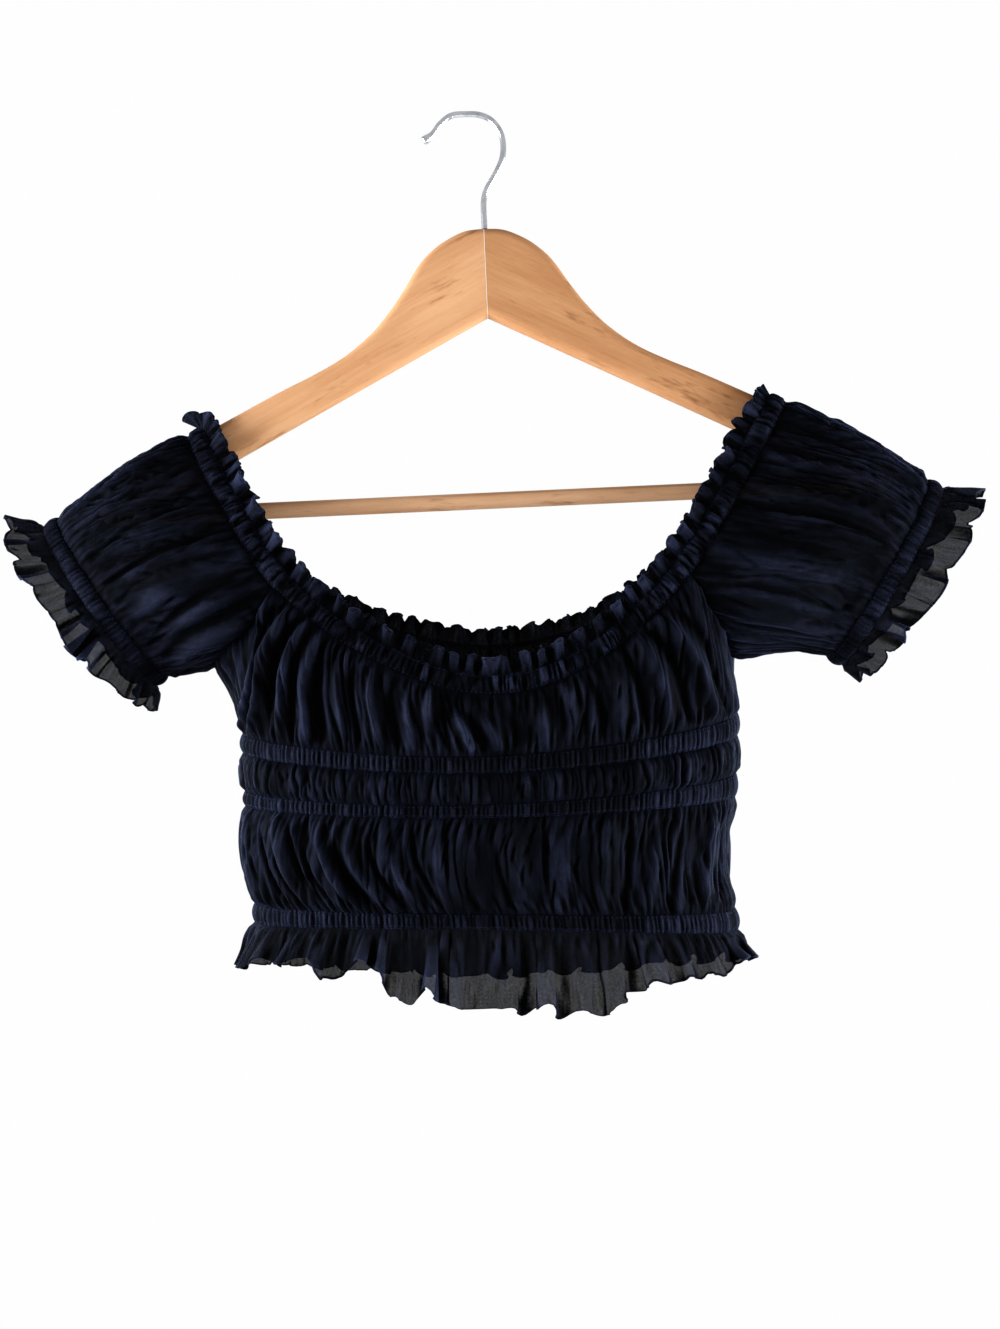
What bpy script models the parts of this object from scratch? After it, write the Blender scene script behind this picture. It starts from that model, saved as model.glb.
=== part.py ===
"""Off-shoulder top with raglan puff sleeves, shirred bands and ruffles, on its wooden hanger.

X runs to the viewer's right, Y away from the viewer and Z up. The origin is the inner crown of the
hook, where the hanger hangs. Sizes below are in millimetres and become metres when a mesh is made.
"""

import math
import random

import bmesh
import bpy
import numpy as np
from mathutils import Matrix, Vector

MM = 0.001

# Cloth and seams
WALL = 1.0
STITCHED_WALL = 1.5
SEAM = 0.3
GATHERED_SEAM = 0.45
UNDERARM_GAP = 0.3
EDGE_GATHER = 0.5
CASING_WIDTH = 11.0
NECK_RUFFLE_WIDTH = 8.5
NECK_LEAN = 0.35
CUFF_BAND_WIDTH = 9.0
CUFF_RUFFLE_TOP_WIDTH = 20.0
CUFF_RUFFLE_FOOT_WIDTH = 12.0
BODY_SQUARENESS = 2.4

# Gathers and ruffle waves
COLUMNS_PER_WAVE = 4
RAGLAN_COLUMNS = 8
YOKE_NECK_COLUMNS = {"front": 64, "back": 48}
PANEL_WAVES = {"midriff": {"front": 14, "back": 12}, "waist": {"front": 20, "back": 14}}
HEM_WAVES = 22
NECK_WAVES = 32
SLEEVE_NECK_COLUMNS = 14
CUFF_WAVES = 10
BAND_COLUMNS = 64
CUFF_COLUMNS = 32
YOKE_ROWS = 5
SLEEVE_ROWS = 6
PANEL_ROWS = {"midriff": 3, "waist": 4}
PANEL_GATHER = {"midriff": 2.0, "waist": 3.0}
YOKE_GATHER = 3.2
YOKE_PUFF = 3.0
SLEEVE_GATHER = 2.6
SLEEVE_CROWN_PUFF = 0.5
SLEEVE_SIDE_PUFF = 5.5
HOOK_POINTS = 34

# Hanger
HANGER_TILT = math.radians(2.6)
HANGER_APEX = (7.0, -62.4)
ARM_THICKNESS = 12.0
ARM_ROUNDING = 5.0
ARM_END = 218.0
ARM_END_RADIUS = 11.0
TIP_STEPS = 4
TIP_LEAN = 0.2
JOINT_OVERLAP = 12.0
NOTCH_DEPTH = 48.4
UNDERSIDE_SLOPE = 0.51
TOP_SLOPE = 0.49
BAR_RADIUS = 4.5
BAR_DROP = 149.0
WIRE_RADIUS = 1.6

# Top edge of one arm: distance from the middle, depth below the apex
ARM_TOP = [
    (0.0, 0.0),
    (11.0, 1.1),
    (23.0, 6.6),
    (32.0, 13.5),
    (38.5, 21.0),
    (46.0, 32.5),
    (54.5, 44.0),
    (65.0, 55.5),
    (80.0, 67.0),
    (97.0, 76.0),
    (118.0, 85.5),
    (148.5, 100.5),
]

# Middle of the hook's wire, from the wood to the free tip: x, z
HOOK_ROUTE = [
    (10.2, -61.5),
    (9.7, -47.0),
    (11.6, -39.4),
    (17.6, -28.6),
    (20.4, -19.8),
    (19.5, -9.9),
    (14.6, -2.4),
    (7.7, 1.1),
    (-0.2, 1.6),
    (-8.0, 0.8),
    (-13.9, -3.5),
    (-18.8, -9.9),
    (-23.7, -13.4),
]

# Upper line of the neck casing all round: place, x, y, z, and the angle from straight down at which
# the cloth leaves it, positive to the viewer's right. At the shoulders it lies on the hanger's arms.
NECKLINE = [
    ("left shoulder", -142.5, 0, -171.0, -61),
    ("", -140.5, -9, -176.0, -60),
    ("", -132.5, -14, -192.0, -59),
    ("", -119.5, -20, -214.5, -58),
    ("", -108.0, -26, -234.0, -53),
    ("front seam left", -94.0, -31, -252.5, -42),
    ("", -70.5, -36, -273.0, -34),
    ("", -41.5, -40, -290.5, -20),
    ("", -12.5, -42, -302.5, -9),
    ("front middle", 12.0, -43, -306.5, 0),
    ("", 37.0, -42, -303.0, 9),
    ("", 63.0, -40, -291.5, 20),
    ("", 88.0, -36, -272.0, 34),
    ("front seam right", 111.0, -31, -246.5, 48),
    ("", 125.5, -26, -224.5, 57),
    ("", 138.0, -20, -203.5, 61),
    ("", 150.5, -14, -180.5, 63),
    ("", 162.5, -9, -158.0, 65),
    ("right shoulder", 165.5, 0, -152.8, 66),
    ("", 163.0, 9, -158.0, 65),
    ("", 156.0, 14, -176.0, 63),
    ("", 146.5, 19, -196.5, 60),
    ("back seam right", 126.5, 24, -233.0, 48),
    ("", 99.5, 27, -260.0, 30),
    ("", 67.5, 29, -279.0, 13),
    ("back middle", 11.5, 30, -290.0, 0),
    ("", -45.5, 29, -280.0, -14),
    ("", -75.5, 27, -268.0, -29),
    ("back seam left", -104.0, 24, -250.0, -48),
    ("", -126.5, 19, -214.5, -60),
    ("", -135.0, 14, -193.5, -61),
    ("", -141.0, 9, -176.0, -61),
]

# Levels of the body: side-to-side reach, depth to the front and back, and the height at the left,
# front, right and back
LEVELS = {
    "upper band top": (-121.5, 148.0, -46, 35, -338.0, -348.5, -326.5, -336.0),
    "upper band foot": (-121.5, 148.0, -46, 35, -348.0, -357.5, -338.5, -346.0),
    "midriff middle": (-122.0, 149.0, -49, 38, -359.0, -365.5, -349.0, -356.5),
    "middle band top": (-120.0, 147.5, -46, 35, -369.5, -373.5, -359.5, -367.0),
    "middle band foot": (-120.0, 147.0, -46, 35, -377.5, -380.5, -372.0, -376.0),
    "waist middle": (-122.5, 143.0, -50, 39, -404.5, -405.5, -403.5, -404.5),
    "lower band top": (-115.0, 147.0, -46, 35, -431.0, -430.5, -434.5, -433.0),
    "lower band foot": (-115.0, 148.5, -46, 36, -441.5, -438.5, -446.0, -443.0),
    "hem": (-122.0, 156.5, -53, 42, -466.5, -477.0, -462.5, -481.0),
}

# Uneven front edge of the hem ruffle: x, z
HEM_FRONT = [
    (-122, -466),
    (-96, -458),
    (-80, -460),
    (-66, -464),
    (-57, -457),
    (-40, -470),
    (-24, -472),
    (0, -475),
    (32, -478),
    (60, -480),
    (80, -478),
    (90, -469),
    (120, -468),
    (157, -461),
]

# Underarm points, the way the side falls from them, and how the raglan seams leave the neck casing
# and round the underarm: x, y, z
UNDERARM = {"left": (-138.0, 0.0, -302.5), "right": (145.0, 0.0, -297.0)}
UNDERARM_WAY = {"left": (0.6, 0.0, -0.8), "right": (-0.1, 0.0, -1.0)}
RAGLAN_DROP = {"left": (-3.0, 0.0, -15.0), "right": (5.0, 0.0, -12.0)}
UNDERARM_ROUNDING = 9.0
UNDERARM_RISE = 5.0
YOKE_FORWARD = 0.3
YOKE_STRAIGHTENING = 0.55
SLEEVE_TURN = 0.7

# Sleeves: the cuff's highest and lowest points (x, z), its half depth, the crown's slope into the
# cuff in degrees below level, how many degrees it lifts off the line of the arm at the shoulder, and
# the outward directions of the ruffle at its top and foot (x, z)
SLEEVES = {
    "left": {
        "cuff_top": (-223.5, -221.0),
        "cuff_foot": (-164.5, -307.5),
        "half_depth": 29.0,
        "crown_slope": 36.0,
        "crown_lift": 14.0,
        "ruffle_top": (-1.0, -0.05),
        "ruffle_foot": (-0.45, -0.89),
    },
    "right": {
        "cuff_top": (253.0, -200.0),
        "cuff_foot": (199.0, -296.5),
        "half_depth": 29.0,
        "crown_slope": 38.0,
        "crown_lift": 0.0,
        "ruffle_top": (0.99, -0.12),
        "ruffle_foot": (0.80, -0.60),
    },
}
SIDE_SIGN = {"left": -1.0, "right": 1.0}

FINISHES = {
    "voile": ((0.012, 0.014, 0.026, 1.0), 0.85, 0.0),
    "pale wood": ((0.80, 0.48, 0.26, 1.0), 0.45, 0.0),
    "wood": ((0.66, 0.40, 0.20, 1.0), 0.45, 0.0),
    "bar wood": ((0.62, 0.40, 0.23, 1.0), 0.5, 0.0),
    "chrome": ((0.75, 0.75, 0.77, 1.0), 0.2, 1.0),
}


def clear_scene():
    for item in list(bpy.data.objects):
        bpy.data.objects.remove(item, do_unlink=True)


def finish(name):
    found = bpy.data.materials.get(name)
    if found:
        return found
    colour, roughness, metallic = FINISHES[name]
    material = bpy.data.materials.new(name)
    material.use_nodes = True
    shader = material.node_tree.nodes["Principled BSDF"]
    shader.inputs["Base Color"].default_value = colour
    shader.inputs["Roughness"].default_value = roughness
    shader.inputs["Metallic"].default_value = metallic
    return material


def unit(vectors):
    return vectors / np.linalg.norm(vectors, axis=-1, keepdims=True)


def smooth_loop(points, steps):
    """Read a closed smooth curve through the points, steps places for each of them."""
    before = np.roll(points, 1, axis=0)
    after = np.roll(points, -1, axis=0)
    second = np.roll(points, -2, axis=0)
    rows = []
    for i in range(len(points)):
        for t in np.arange(steps) / steps:
            rows.append(
                0.5
                * (
                    2 * points[i]
                    + (after[i] - before[i]) * t
                    + (2 * before[i] - 5 * points[i] + 4 * after[i] - second[i]) * t**2
                    + (3 * points[i] - before[i] - 3 * after[i] + second[i]) * t**3
                )
            )
    return np.array(rows)


def smooth_route(points, count):
    """Read an open smooth curve through the points at even spacing."""
    points = np.array(points)
    first = 2 * points[0] - points[1]
    last = 2 * points[-1] - points[-2]
    padded = np.vstack([first, points, last, last + points[-1] - points[-2]])
    dense = smooth_loop(padded, 12)[12 : 12 * (len(points)) + 1]
    length = np.concatenate([[0], np.cumsum(np.linalg.norm(np.diff(dense, axis=0), axis=1))])
    places = np.linspace(0, length[-1], count)
    return np.stack([np.interp(places, length, dense[:, k]) for k in range(points.shape[1])], axis=1)


class Neckline:
    """The closed line of the neck casing, read by a place w that grows by 1 for each turn."""

    STEPS = 24
    SHOULDER_REACH = 16.0
    SHOULDER_CROWDING = 1.6

    def __init__(self):
        table = np.array([row[1:] for row in NECKLINE], dtype=float)
        dense = smooth_loop(table, self.STEPS)
        self.points = dense[:, :3]
        self.falls = np.radians(dense[:, 3])
        steps = np.linalg.norm(np.roll(self.points, -1, axis=0) - self.points, axis=1)
        shoulders = [self.points[self.row(n) * self.STEPS] for n in ("left shoulder", "right shoulder")]
        nearest = np.min([np.linalg.norm(self.points - s, axis=1) for s in shoulders], axis=0)
        crowding = 1 + self.SHOULDER_CROWDING * np.exp(-((nearest / self.SHOULDER_REACH) ** 2))
        weighted = steps * crowding
        self.total = weighted.sum()
        self.places = np.concatenate([[0], np.cumsum(weighted)]) / self.total

    @staticmethod
    def row(name):
        return [r[0] for r in NECKLINE].index(name)

    def place(self, name):
        return self.places[self.row(name) * self.STEPS]

    def read(self, values, w):
        closed = np.concatenate([values, values[:1]])
        w = np.mod(w, 1.0)
        if closed.ndim == 1:
            return np.interp(w, self.places, closed)
        return np.stack([np.interp(w, self.places, closed[:, k]) for k in range(3)], axis=-1)

    def line(self, w):
        """Points of the casing's upper line, the way the cloth falls there and its outer side."""
        points = self.read(self.points, w)
        fall = self.read(self.falls, w)
        lean = NECK_LEAN * points[:, 1] / 43.0
        down = unit(np.stack([np.sin(fall), lean, -np.cos(fall)], axis=-1))
        ahead = self.read(self.points, w + 0.002) - self.read(self.points, w - 0.002)
        outward = unit(np.cross(ahead, down))
        middle = np.array([13.0, 0.0, -330.0])
        outward *= np.sign(np.sum(outward * (points - middle), axis=-1, keepdims=True))
        return points, down, outward


NECK = Neckline()


def ring(level, count, half=None):
    """Points round the body at a level: the front from left to right, then the back to the left."""
    left, right, front, back, z_left, z_front, z_right, z_back = LEVELS[level]
    turn = np.linspace(0, math.pi, 400)
    x = (left + right) / 2 - (right - left) / 2 * signed_power(np.cos(turn))
    halves = {}
    for name, depth, z_middle in (("front", front, z_front), ("back", back, z_back)):
        y = depth * signed_power(np.sin(turn))
        steps = np.hypot(np.diff(x), np.diff(y))
        length = np.concatenate([[0], np.cumsum(steps)])
        share = length / length[-1]
        z = z_left + (z_right - z_left) * share
        z = z + (z_middle - (z_left + z_right) / 2) * np.sin(math.pi * share)
        halves[name] = (share, np.stack([x, y, z], axis=1))

    def read(name, places):
        share, points = halves[name]
        return np.stack([np.interp(places, share, points[:, k]) for k in range(3)], axis=1)

    if half:
        return read(half, np.linspace(0, 1, count + 1))
    places = np.arange(count // 2) / (count // 2)
    return np.vstack([read("front", places), read("back", 1 - places)])


def signed_power(values):
    return np.sign(values) * np.abs(values) ** (2 / BODY_SQUARENESS)


def raglan_seam(side, half, places):
    """Seam from the neck casing, place 0, round to the underarm, place 1."""
    top, down, _ = NECK.line(np.array([NECK.place(f"{half} seam {side}")]))
    start = top[0] + down[0] * (CASING_WIDTH + GATHERED_SEAM)
    end = np.array(UNDERARM[side])
    facing = -1.0 if half == "front" else 1.0
    leave = start + np.array(RAGLAN_DROP[side])
    arrive = end + np.array([0.0, facing * UNDERARM_ROUNDING, UNDERARM_RISE])
    t = np.asarray(places)[:, None]
    return (1 - t) ** 3 * start + 3 * t * (1 - t) ** 2 * leave + 3 * t**2 * (1 - t) * arrive + t**3 * end


def turned_down(ways, straight):
    """Turn the ways in which the yoke leaves the casing part of the way to its own fall."""
    level = np.abs(ways[:, :1])
    share = YOKE_STRAIGHTENING * np.minimum(level / 0.5, 1.0)
    return unit(ways * (1 - share) + straight * share)


def body_top_edge(half):
    """Upper edge of a yoke from its left underarm over the neck to its right underarm."""
    raglan = np.arange(RAGLAN_COLUMNS) / RAGLAN_COLUMNS
    left = raglan_seam("left", half, 1 - raglan)
    right = raglan_seam("right", half, raglan + 1 / RAGLAN_COLUMNS)
    start = NECK.place(f"{half} seam left")
    end = NECK.place(f"{half} seam right")
    top, down, _ = NECK.line(np.linspace(start, end, YOKE_NECK_COLUMNS[half] + 1))
    facing = -1.0 if half == "front" else 1.0
    straight = unit(np.array([0.0, facing * YOKE_FORWARD, -1.0]))
    way = turned_down(down, straight)
    rising = raglan[:, None]
    falling = 1 - rising - 1 / RAGLAN_COLUMNS
    left_way = unit(np.array(UNDERARM_WAY["left"]) * (1 - rising) + way[0] * rising)
    right_way = unit(way[-1] * falling + np.array(UNDERARM_WAY["right"]) * (1 - falling))
    return np.vstack([left, top + down * CASING_WIDTH, right]), np.vstack([left_way, way, right_way])


def hermite(start, start_way, end, end_way, rows):
    """Loft rows between two edges that leave and arrive along the given ways."""
    chord = np.linalg.norm(end - start, axis=1, keepdims=True)
    grid = []
    for v in np.linspace(0, 1, rows):
        grid.append(
            (2 * v**3 - 3 * v**2 + 1) * start
            + (v**3 - 2 * v**2 + v) * chord * start_way
            + (-2 * v**3 + 3 * v**2) * end
            + (v**3 - v**2) * chord * end_way
        )
    return np.array(grid)


def outward_normals(grid, middle, closed):
    """Unit normals of a grid of points, turned away from its middle line."""
    if closed:
        across = np.roll(grid, -1, axis=1) - np.roll(grid, 1, axis=1)
    else:
        across = np.gradient(grid, axis=1)
    along = np.gradient(grid, axis=0)
    normals = unit(np.cross(across, along))
    away = np.sum(normals * (grid - middle), axis=-1)
    return normals * (1.0 if away.mean() > 0 else -1.0)


def wave_heights(columns, closed, seed):
    """Height of the gathers along a row, 0 in the valleys, up to 1 on uneven crests."""
    chooser = random.Random(seed)
    waves = columns // COLUMNS_PER_WAVE
    crests = [chooser.uniform(0.6, 1.0) for _ in range(waves)]
    count = columns if closed else columns + 1
    heights = []
    for i in range(count):
        crest = crests[(i // COLUMNS_PER_WAVE) % waves]
        turn = 2 * math.pi * i / COLUMNS_PER_WAVE
        heights.append(crest * (1 - math.cos(turn)) / 2)
    return np.array(heights)


def gather(grid, middle, closed, depth, puff, seed):
    """Raise gathers and a puff on a panel that is held at its first and last rows."""
    rows, columns = grid.shape[:2]
    normals = outward_normals(grid, middle, closed)
    heights = wave_heights(columns if closed else columns - 1, closed, seed)
    swell = np.sin(math.pi * np.linspace(0, 1, rows))[:, None]
    lift = puff * swell + (EDGE_GATHER + (depth - EDGE_GATHER) * swell) * heights[None, :]
    return grid + normals * lift[:, :, None]


def sheet_object(name, grid, closed, wall, middle, collection, look="voile"):
    """Make a grid of outer points into a walled cloth piece."""
    rows, columns = grid.shape[:2]
    mesh = bpy.data.meshes.new(name)
    shape = bmesh.new()
    points = [[shape.verts.new(p * MM) for p in row] for row in grid]
    last = columns if closed else columns - 1
    for r in range(rows - 1):
        for c in range(last):
            n = (c + 1) % columns
            shape.faces.new((points[r][c], points[r][n], points[r + 1][n], points[r + 1][c]))
    shape.normal_update()
    centre = Vector(middle) * MM
    outward = sum(f.normal.dot(f.calc_center_median() - centre) for f in shape.faces)
    if outward < 0:
        bmesh.ops.reverse_faces(shape, faces=shape.faces[:])
    shape.to_mesh(mesh)
    shape.free()
    mesh.shade_smooth()
    mesh.materials.append(finish(look))
    item = bpy.data.objects.new(name, mesh)
    collection.objects.link(item)
    solid = item.modifiers.new("Cloth wall", "SOLIDIFY")
    solid.thickness = wall * MM
    solid.offset = -1
    solid.use_rim = True
    return item


def seam_shift(grid, first=0.0, last=0.0):
    """Draw the first and last rows of a panel back from its seams, along the panel."""
    grid = grid.copy()
    grid[0] += unit(grid[1] - grid[0]) * first
    grid[-1] += unit(grid[-2] - grid[-1]) * last
    return grid


def open_side_seams(grid, half, underarm_gap=0.0):
    """Part the side seams of a front or back panel, wider towards an underarm point."""
    grid = grid.copy()
    facing = -1.0 if half == "front" else 1.0
    above = np.linspace(1, 0, len(grid)) ** 2
    away = facing * (SEAM / 2 + underarm_gap * above)
    grid[:, 0, 1] += away
    grid[:, -1, 1] += away
    return grid


BODY_MIDDLE = np.array([13.0, 0.0, -360.0])


def make_yoke(half, collection):
    edge, way = body_top_edge(half)
    columns = len(edge) - 1
    foot = ring("upper band top", columns, half)
    down = np.tile(np.array([0.0, 0.0, -1.0]), (columns + 1, 1))
    grid = hermite(edge, way, foot, down, YOKE_ROWS)
    grid = seam_shift(grid, GATHERED_SEAM, SEAM)
    middle = grid.mean(axis=1, keepdims=True) * [1, 0, 1]
    puff = YOKE_PUFF * np.sin(math.pi * np.linspace(0, 1, columns + 1))
    grid = gather(grid, middle, False, YOKE_GATHER, puff, f"yoke {half}")
    grid = open_side_seams(grid, half, UNDERARM_GAP)
    sheet_object(f"yoke_{half}", grid, False, WALL, BODY_MIDDLE, collection)


def make_panel(name, upper, lower, half, collection):
    """Gathered panel that bows out between two bands."""
    columns = PANEL_WAVES[name][half] * COLUMNS_PER_WAVE
    top = ring(upper, columns, half)
    bow = ring(f"{name} middle", columns, half)
    foot = ring(lower, columns, half)
    v = np.linspace(0, 1, PANEL_ROWS[name])[:, None, None]
    grid = top * (1 - v) * (1 - 2 * v) + bow * 4 * v * (1 - v) + foot * v * (2 * v - 1)
    grid = seam_shift(grid, SEAM, SEAM)
    middle = grid.mean(axis=1, keepdims=True) * [1, 0, 1]
    grid = gather(grid, middle, False, PANEL_GATHER[name], 0.0, f"{name} {half}")
    grid = open_side_seams(grid, half)
    sheet_object(f"{name}_{half}", grid, False, WALL, BODY_MIDDLE, collection)


def make_band(name, level, collection):
    grid = np.array([ring(f"{level} top", BAND_COLUMNS), ring(f"{level} foot", BAND_COLUMNS)])
    sheet_object(name, grid, True, STITCHED_WALL, BODY_MIDDLE, collection)


def make_hem_ruffle(collection):
    columns = HEM_WAVES * COLUMNS_PER_WAVE
    top = ring("lower band foot", columns)
    foot = ring("hem", columns)
    front = foot[:, 1] < 0
    foot[front, 2] = np.interp(foot[front, 0], *np.array(HEM_FRONT).T)
    places = np.linspace(0, 1, 3)[:, None, None]
    grid = seam_shift(top * (1 - places) + foot * places, SEAM)
    normals = outward_normals(grid, BODY_MIDDLE, True)
    heights = wave_heights(columns, True, "hem")
    depths = np.array([0.5, 2.6, 5.0])[:, None]
    grid = grid + normals * (depths * (heights - 0.35 * places[:, :, 0]))[:, :, None]
    sheet_object("hem_ruffle", grid, True, WALL, BODY_MIDDLE, collection)


def make_neckline(collection):
    places = np.arange(NECK_WAVES * COLUMNS_PER_WAVE) / (NECK_WAVES * COLUMNS_PER_WAVE)
    top, down, outward = NECK.line(places)
    casing = np.array([top, top + down * CASING_WIDTH])
    sheet_object("neck_casing", casing, True, STITCHED_WALL, BODY_MIDDLE, collection)
    lean = math.radians(22)
    rise = outward * math.sin(lean) - down * math.cos(lean)
    pitch = np.linalg.norm(np.roll(top, -4, axis=0) - top, axis=1)
    depth = np.minimum(0.09 * pitch, 2.6)
    height = wave_heights(len(places), True, "neck ruffle") * depth
    root = top - down * SEAM
    edge = root + rise * NECK_RUFFLE_WIDTH + outward * height[:, None]
    root = root + outward * 0.3 * height[:, None]
    sheet_object("neck_ruffle", np.array([edge, root]), True, WALL, BODY_MIDDLE, collection)


def cuff_frame(side):
    """Middle of a cuff, its long half from the middle to the top, and the way out of the sleeve."""
    sizes = SLEEVES[side]
    top = np.array([sizes["cuff_top"][0], 0.0, sizes["cuff_top"][1]])
    foot = np.array([sizes["cuff_foot"][0], 0.0, sizes["cuff_foot"][1]])
    middle = (top + foot) / 2
    long_half = top - middle
    along = unit(long_half)
    out = np.array([SIDE_SIGN[side] * abs(along[2]), 0.0, -abs(along[0])])
    return middle, long_half, out


def cuff_ring(side, count, shift=0.0):
    """Points round a cuff from its top over the front to its foot and back."""
    middle, long_half, out = cuff_frame(side)
    turn = 2 * math.pi * np.arange(count)[:, None] / count
    depth = np.array([0.0, -SLEEVES[side]["half_depth"], 0.0])
    return middle + long_half * np.cos(turn) + depth * np.sin(turn) + out * shift


def sleeve_top_edge(side):
    """Edge of a sleeve from the shoulder round the front, the underarm and the back."""
    shoulder = NECK.place(f"{side} shoulder")
    underarm = np.array(UNDERARM[side])
    cuff_foot = np.array([SLEEVES[side]["cuff_foot"][0], 0.0, SLEEVES[side]["cuff_foot"][1]])
    under_way = unit(cuff_foot - underarm)
    halves = {}
    for half in ("front", "back"):
        seam = NECK.place(f"{half} seam {side}")
        reach = (seam - shoulder + 0.5) % 1.0 - 0.5
        steps = np.arange(SLEEVE_NECK_COLUMNS) / SLEEVE_NECK_COLUMNS
        top, down, outward = NECK.line(shoulder + reach * steps)
        raglan = np.arange(RAGLAN_COLUMNS) / RAGLAN_COLUMNS
        seam_points = raglan_seam(side, half, raglan)
        turned = steps[:, None] ** 2 * SLEEVE_TURN
        lift = math.radians(SLEEVES[side]["crown_lift"]) * (1 - steps[:, None]) ** 2
        neck_ways = unit(down * (1 - turned) + under_way * turned)
        neck_ways = neck_ways * np.cos(lift) + outward * np.sin(lift)
        corner = unit(down[-1] * (1 - SLEEVE_TURN) + under_way * SLEEVE_TURN)
        blend = raglan[:, None]
        seam_ways = unit(corner * (1 - blend) + under_way * blend)
        halves[half] = (
            np.vstack([top + down * CASING_WIDTH, seam_points]),
            np.vstack([neck_ways, seam_ways]),
        )
    front, front_way = halves["front"]
    back, back_way = halves["back"]
    edge = np.vstack([front, [underarm], back[:0:-1]])
    way = np.vstack([front_way, [under_way], back_way[:0:-1]])
    return edge, way


def make_sleeve(side, collection):
    edge, way = sleeve_top_edge(side)
    count = len(edge)
    cuff = cuff_ring(side, count)
    _, _, out = cuff_frame(side)
    slope = math.radians(SLEEVES[side]["crown_slope"])
    crown = np.array([SIDE_SIGN[side] * math.cos(slope), 0.0, -math.sin(slope)])
    turn = 2 * math.pi * np.arange(count)[:, None] / count
    crown_share = (1 + np.cos(turn)) / 2
    arrive = unit(crown * crown_share + out * (1 - crown_share))
    grid = seam_shift(hermite(edge, way, cuff, arrive, SLEEVE_ROWS), GATHERED_SEAM, SEAM)
    middle = grid.mean(axis=1, keepdims=True)
    side_share = np.abs(np.sin(turn[:, 0]))
    puff = SLEEVE_CROWN_PUFF + SLEEVE_SIDE_PUFF * side_share
    grid = gather(grid, middle, True, SLEEVE_GATHER, puff, f"sleeve {side}")
    sheet_object(f"sleeve_{side}", grid, True, WALL, middle.mean(axis=(0, 1)), collection)


def make_cuff(side, collection):
    middle, _, out = cuff_frame(side)
    band = np.array([cuff_ring(side, CUFF_COLUMNS), cuff_ring(side, CUFF_COLUMNS, CUFF_BAND_WIDTH)])
    sheet_object(f"cuff_band_{side}", band, True, STITCHED_WALL, middle, collection)
    count = CUFF_WAVES * COLUMNS_PER_WAVE
    root = cuff_ring(side, count, CUFF_BAND_WIDTH + SEAM)
    turn = 2 * math.pi * np.arange(count)[:, None] / count
    share = (1 + np.cos(turn)) / 2
    sizes = SLEEVES[side]
    top_way = np.array([sizes["ruffle_top"][0], 0.0, sizes["ruffle_top"][1]])
    foot_way = np.array([sizes["ruffle_foot"][0], 0.0, sizes["ruffle_foot"][1]])
    flare = unit(root - middle - out * (CUFF_BAND_WIDTH + SEAM))
    way = unit(top_way * share + foot_way * (1 - share) + 0.25 * flare)
    heights = wave_heights(count, True, f"cuff {side}")[:, None]
    rows = []
    width = CUFF_RUFFLE_FOOT_WIDTH + (CUFF_RUFFLE_TOP_WIDTH - CUFF_RUFFLE_FOOT_WIDTH) * share
    for reach, depth in ((0.0, 0.4), (0.5, 2.2), (1.0, 4.4)):
        rows.append(root + way * width * reach + flare * depth * (heights - 0.4 * reach))
    sheet_object(f"cuff_ruffle_{side}", np.array(rows), True, WALL, middle, collection)


def on_hanger(x, z):
    """Turn a point of the level hanger by its tilt about the place where it hangs."""
    turned_x = x * math.cos(HANGER_TILT) - z * math.sin(HANGER_TILT)
    turned_z = x * math.sin(HANGER_TILT) + z * math.cos(HANGER_TILT)
    return turned_x, turned_z


def arm_outline():
    """Outline of one arm seen from the front: distance from the middle, height from the apex."""
    top = [(x, -drop) for x, drop in ARM_TOP]
    last_x, last_z = top[-1]
    shoulder_x = ARM_END - ARM_END_RADIUS
    upper = (shoulder_x, last_z - TOP_SLOPE * (shoulder_x - last_x))
    lower = (shoulder_x, -NOTCH_DEPTH - UNDERSIDE_SLOPE * shoulder_x)
    middle_z = (upper[1] + lower[1]) / 2
    half_height = (upper[1] - lower[1]) / 2
    lean = TIP_LEAN * ARM_END_RADIUS
    tip = []
    for i in range(1, TIP_STEPS):
        turn = math.pi / 2 - math.pi * i / TIP_STEPS
        reach = math.cos(turn)
        height = middle_z + half_height * math.sin(turn) - lean * reach
        tip.append((shoulder_x + ARM_END_RADIUS * reach, height))
    past_middle = [(-JOINT_OVERLAP, -NOTCH_DEPTH + UNDERSIDE_SLOPE * JOINT_OVERLAP), (-JOINT_OVERLAP, 0.0)]
    return top + [upper] + tip + [lower] + past_middle


def cut_flat(mesh, place, normal):
    """Cut a closed mesh by a plane, drop the side the normal points to and close the cut."""
    shape = bmesh.new()
    shape.from_mesh(mesh)
    geometry = shape.verts[:] + shape.edges[:] + shape.faces[:]
    cut = bmesh.ops.bisect_plane(shape, geom=geometry, plane_co=place, plane_no=normal, clear_outer=True)
    edges = [e for e in cut["geom_cut"] if isinstance(e, bmesh.types.BMEdge)]
    bmesh.ops.contextual_create(shape, geom=edges)
    shape.to_mesh(mesh)
    shape.free()


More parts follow.
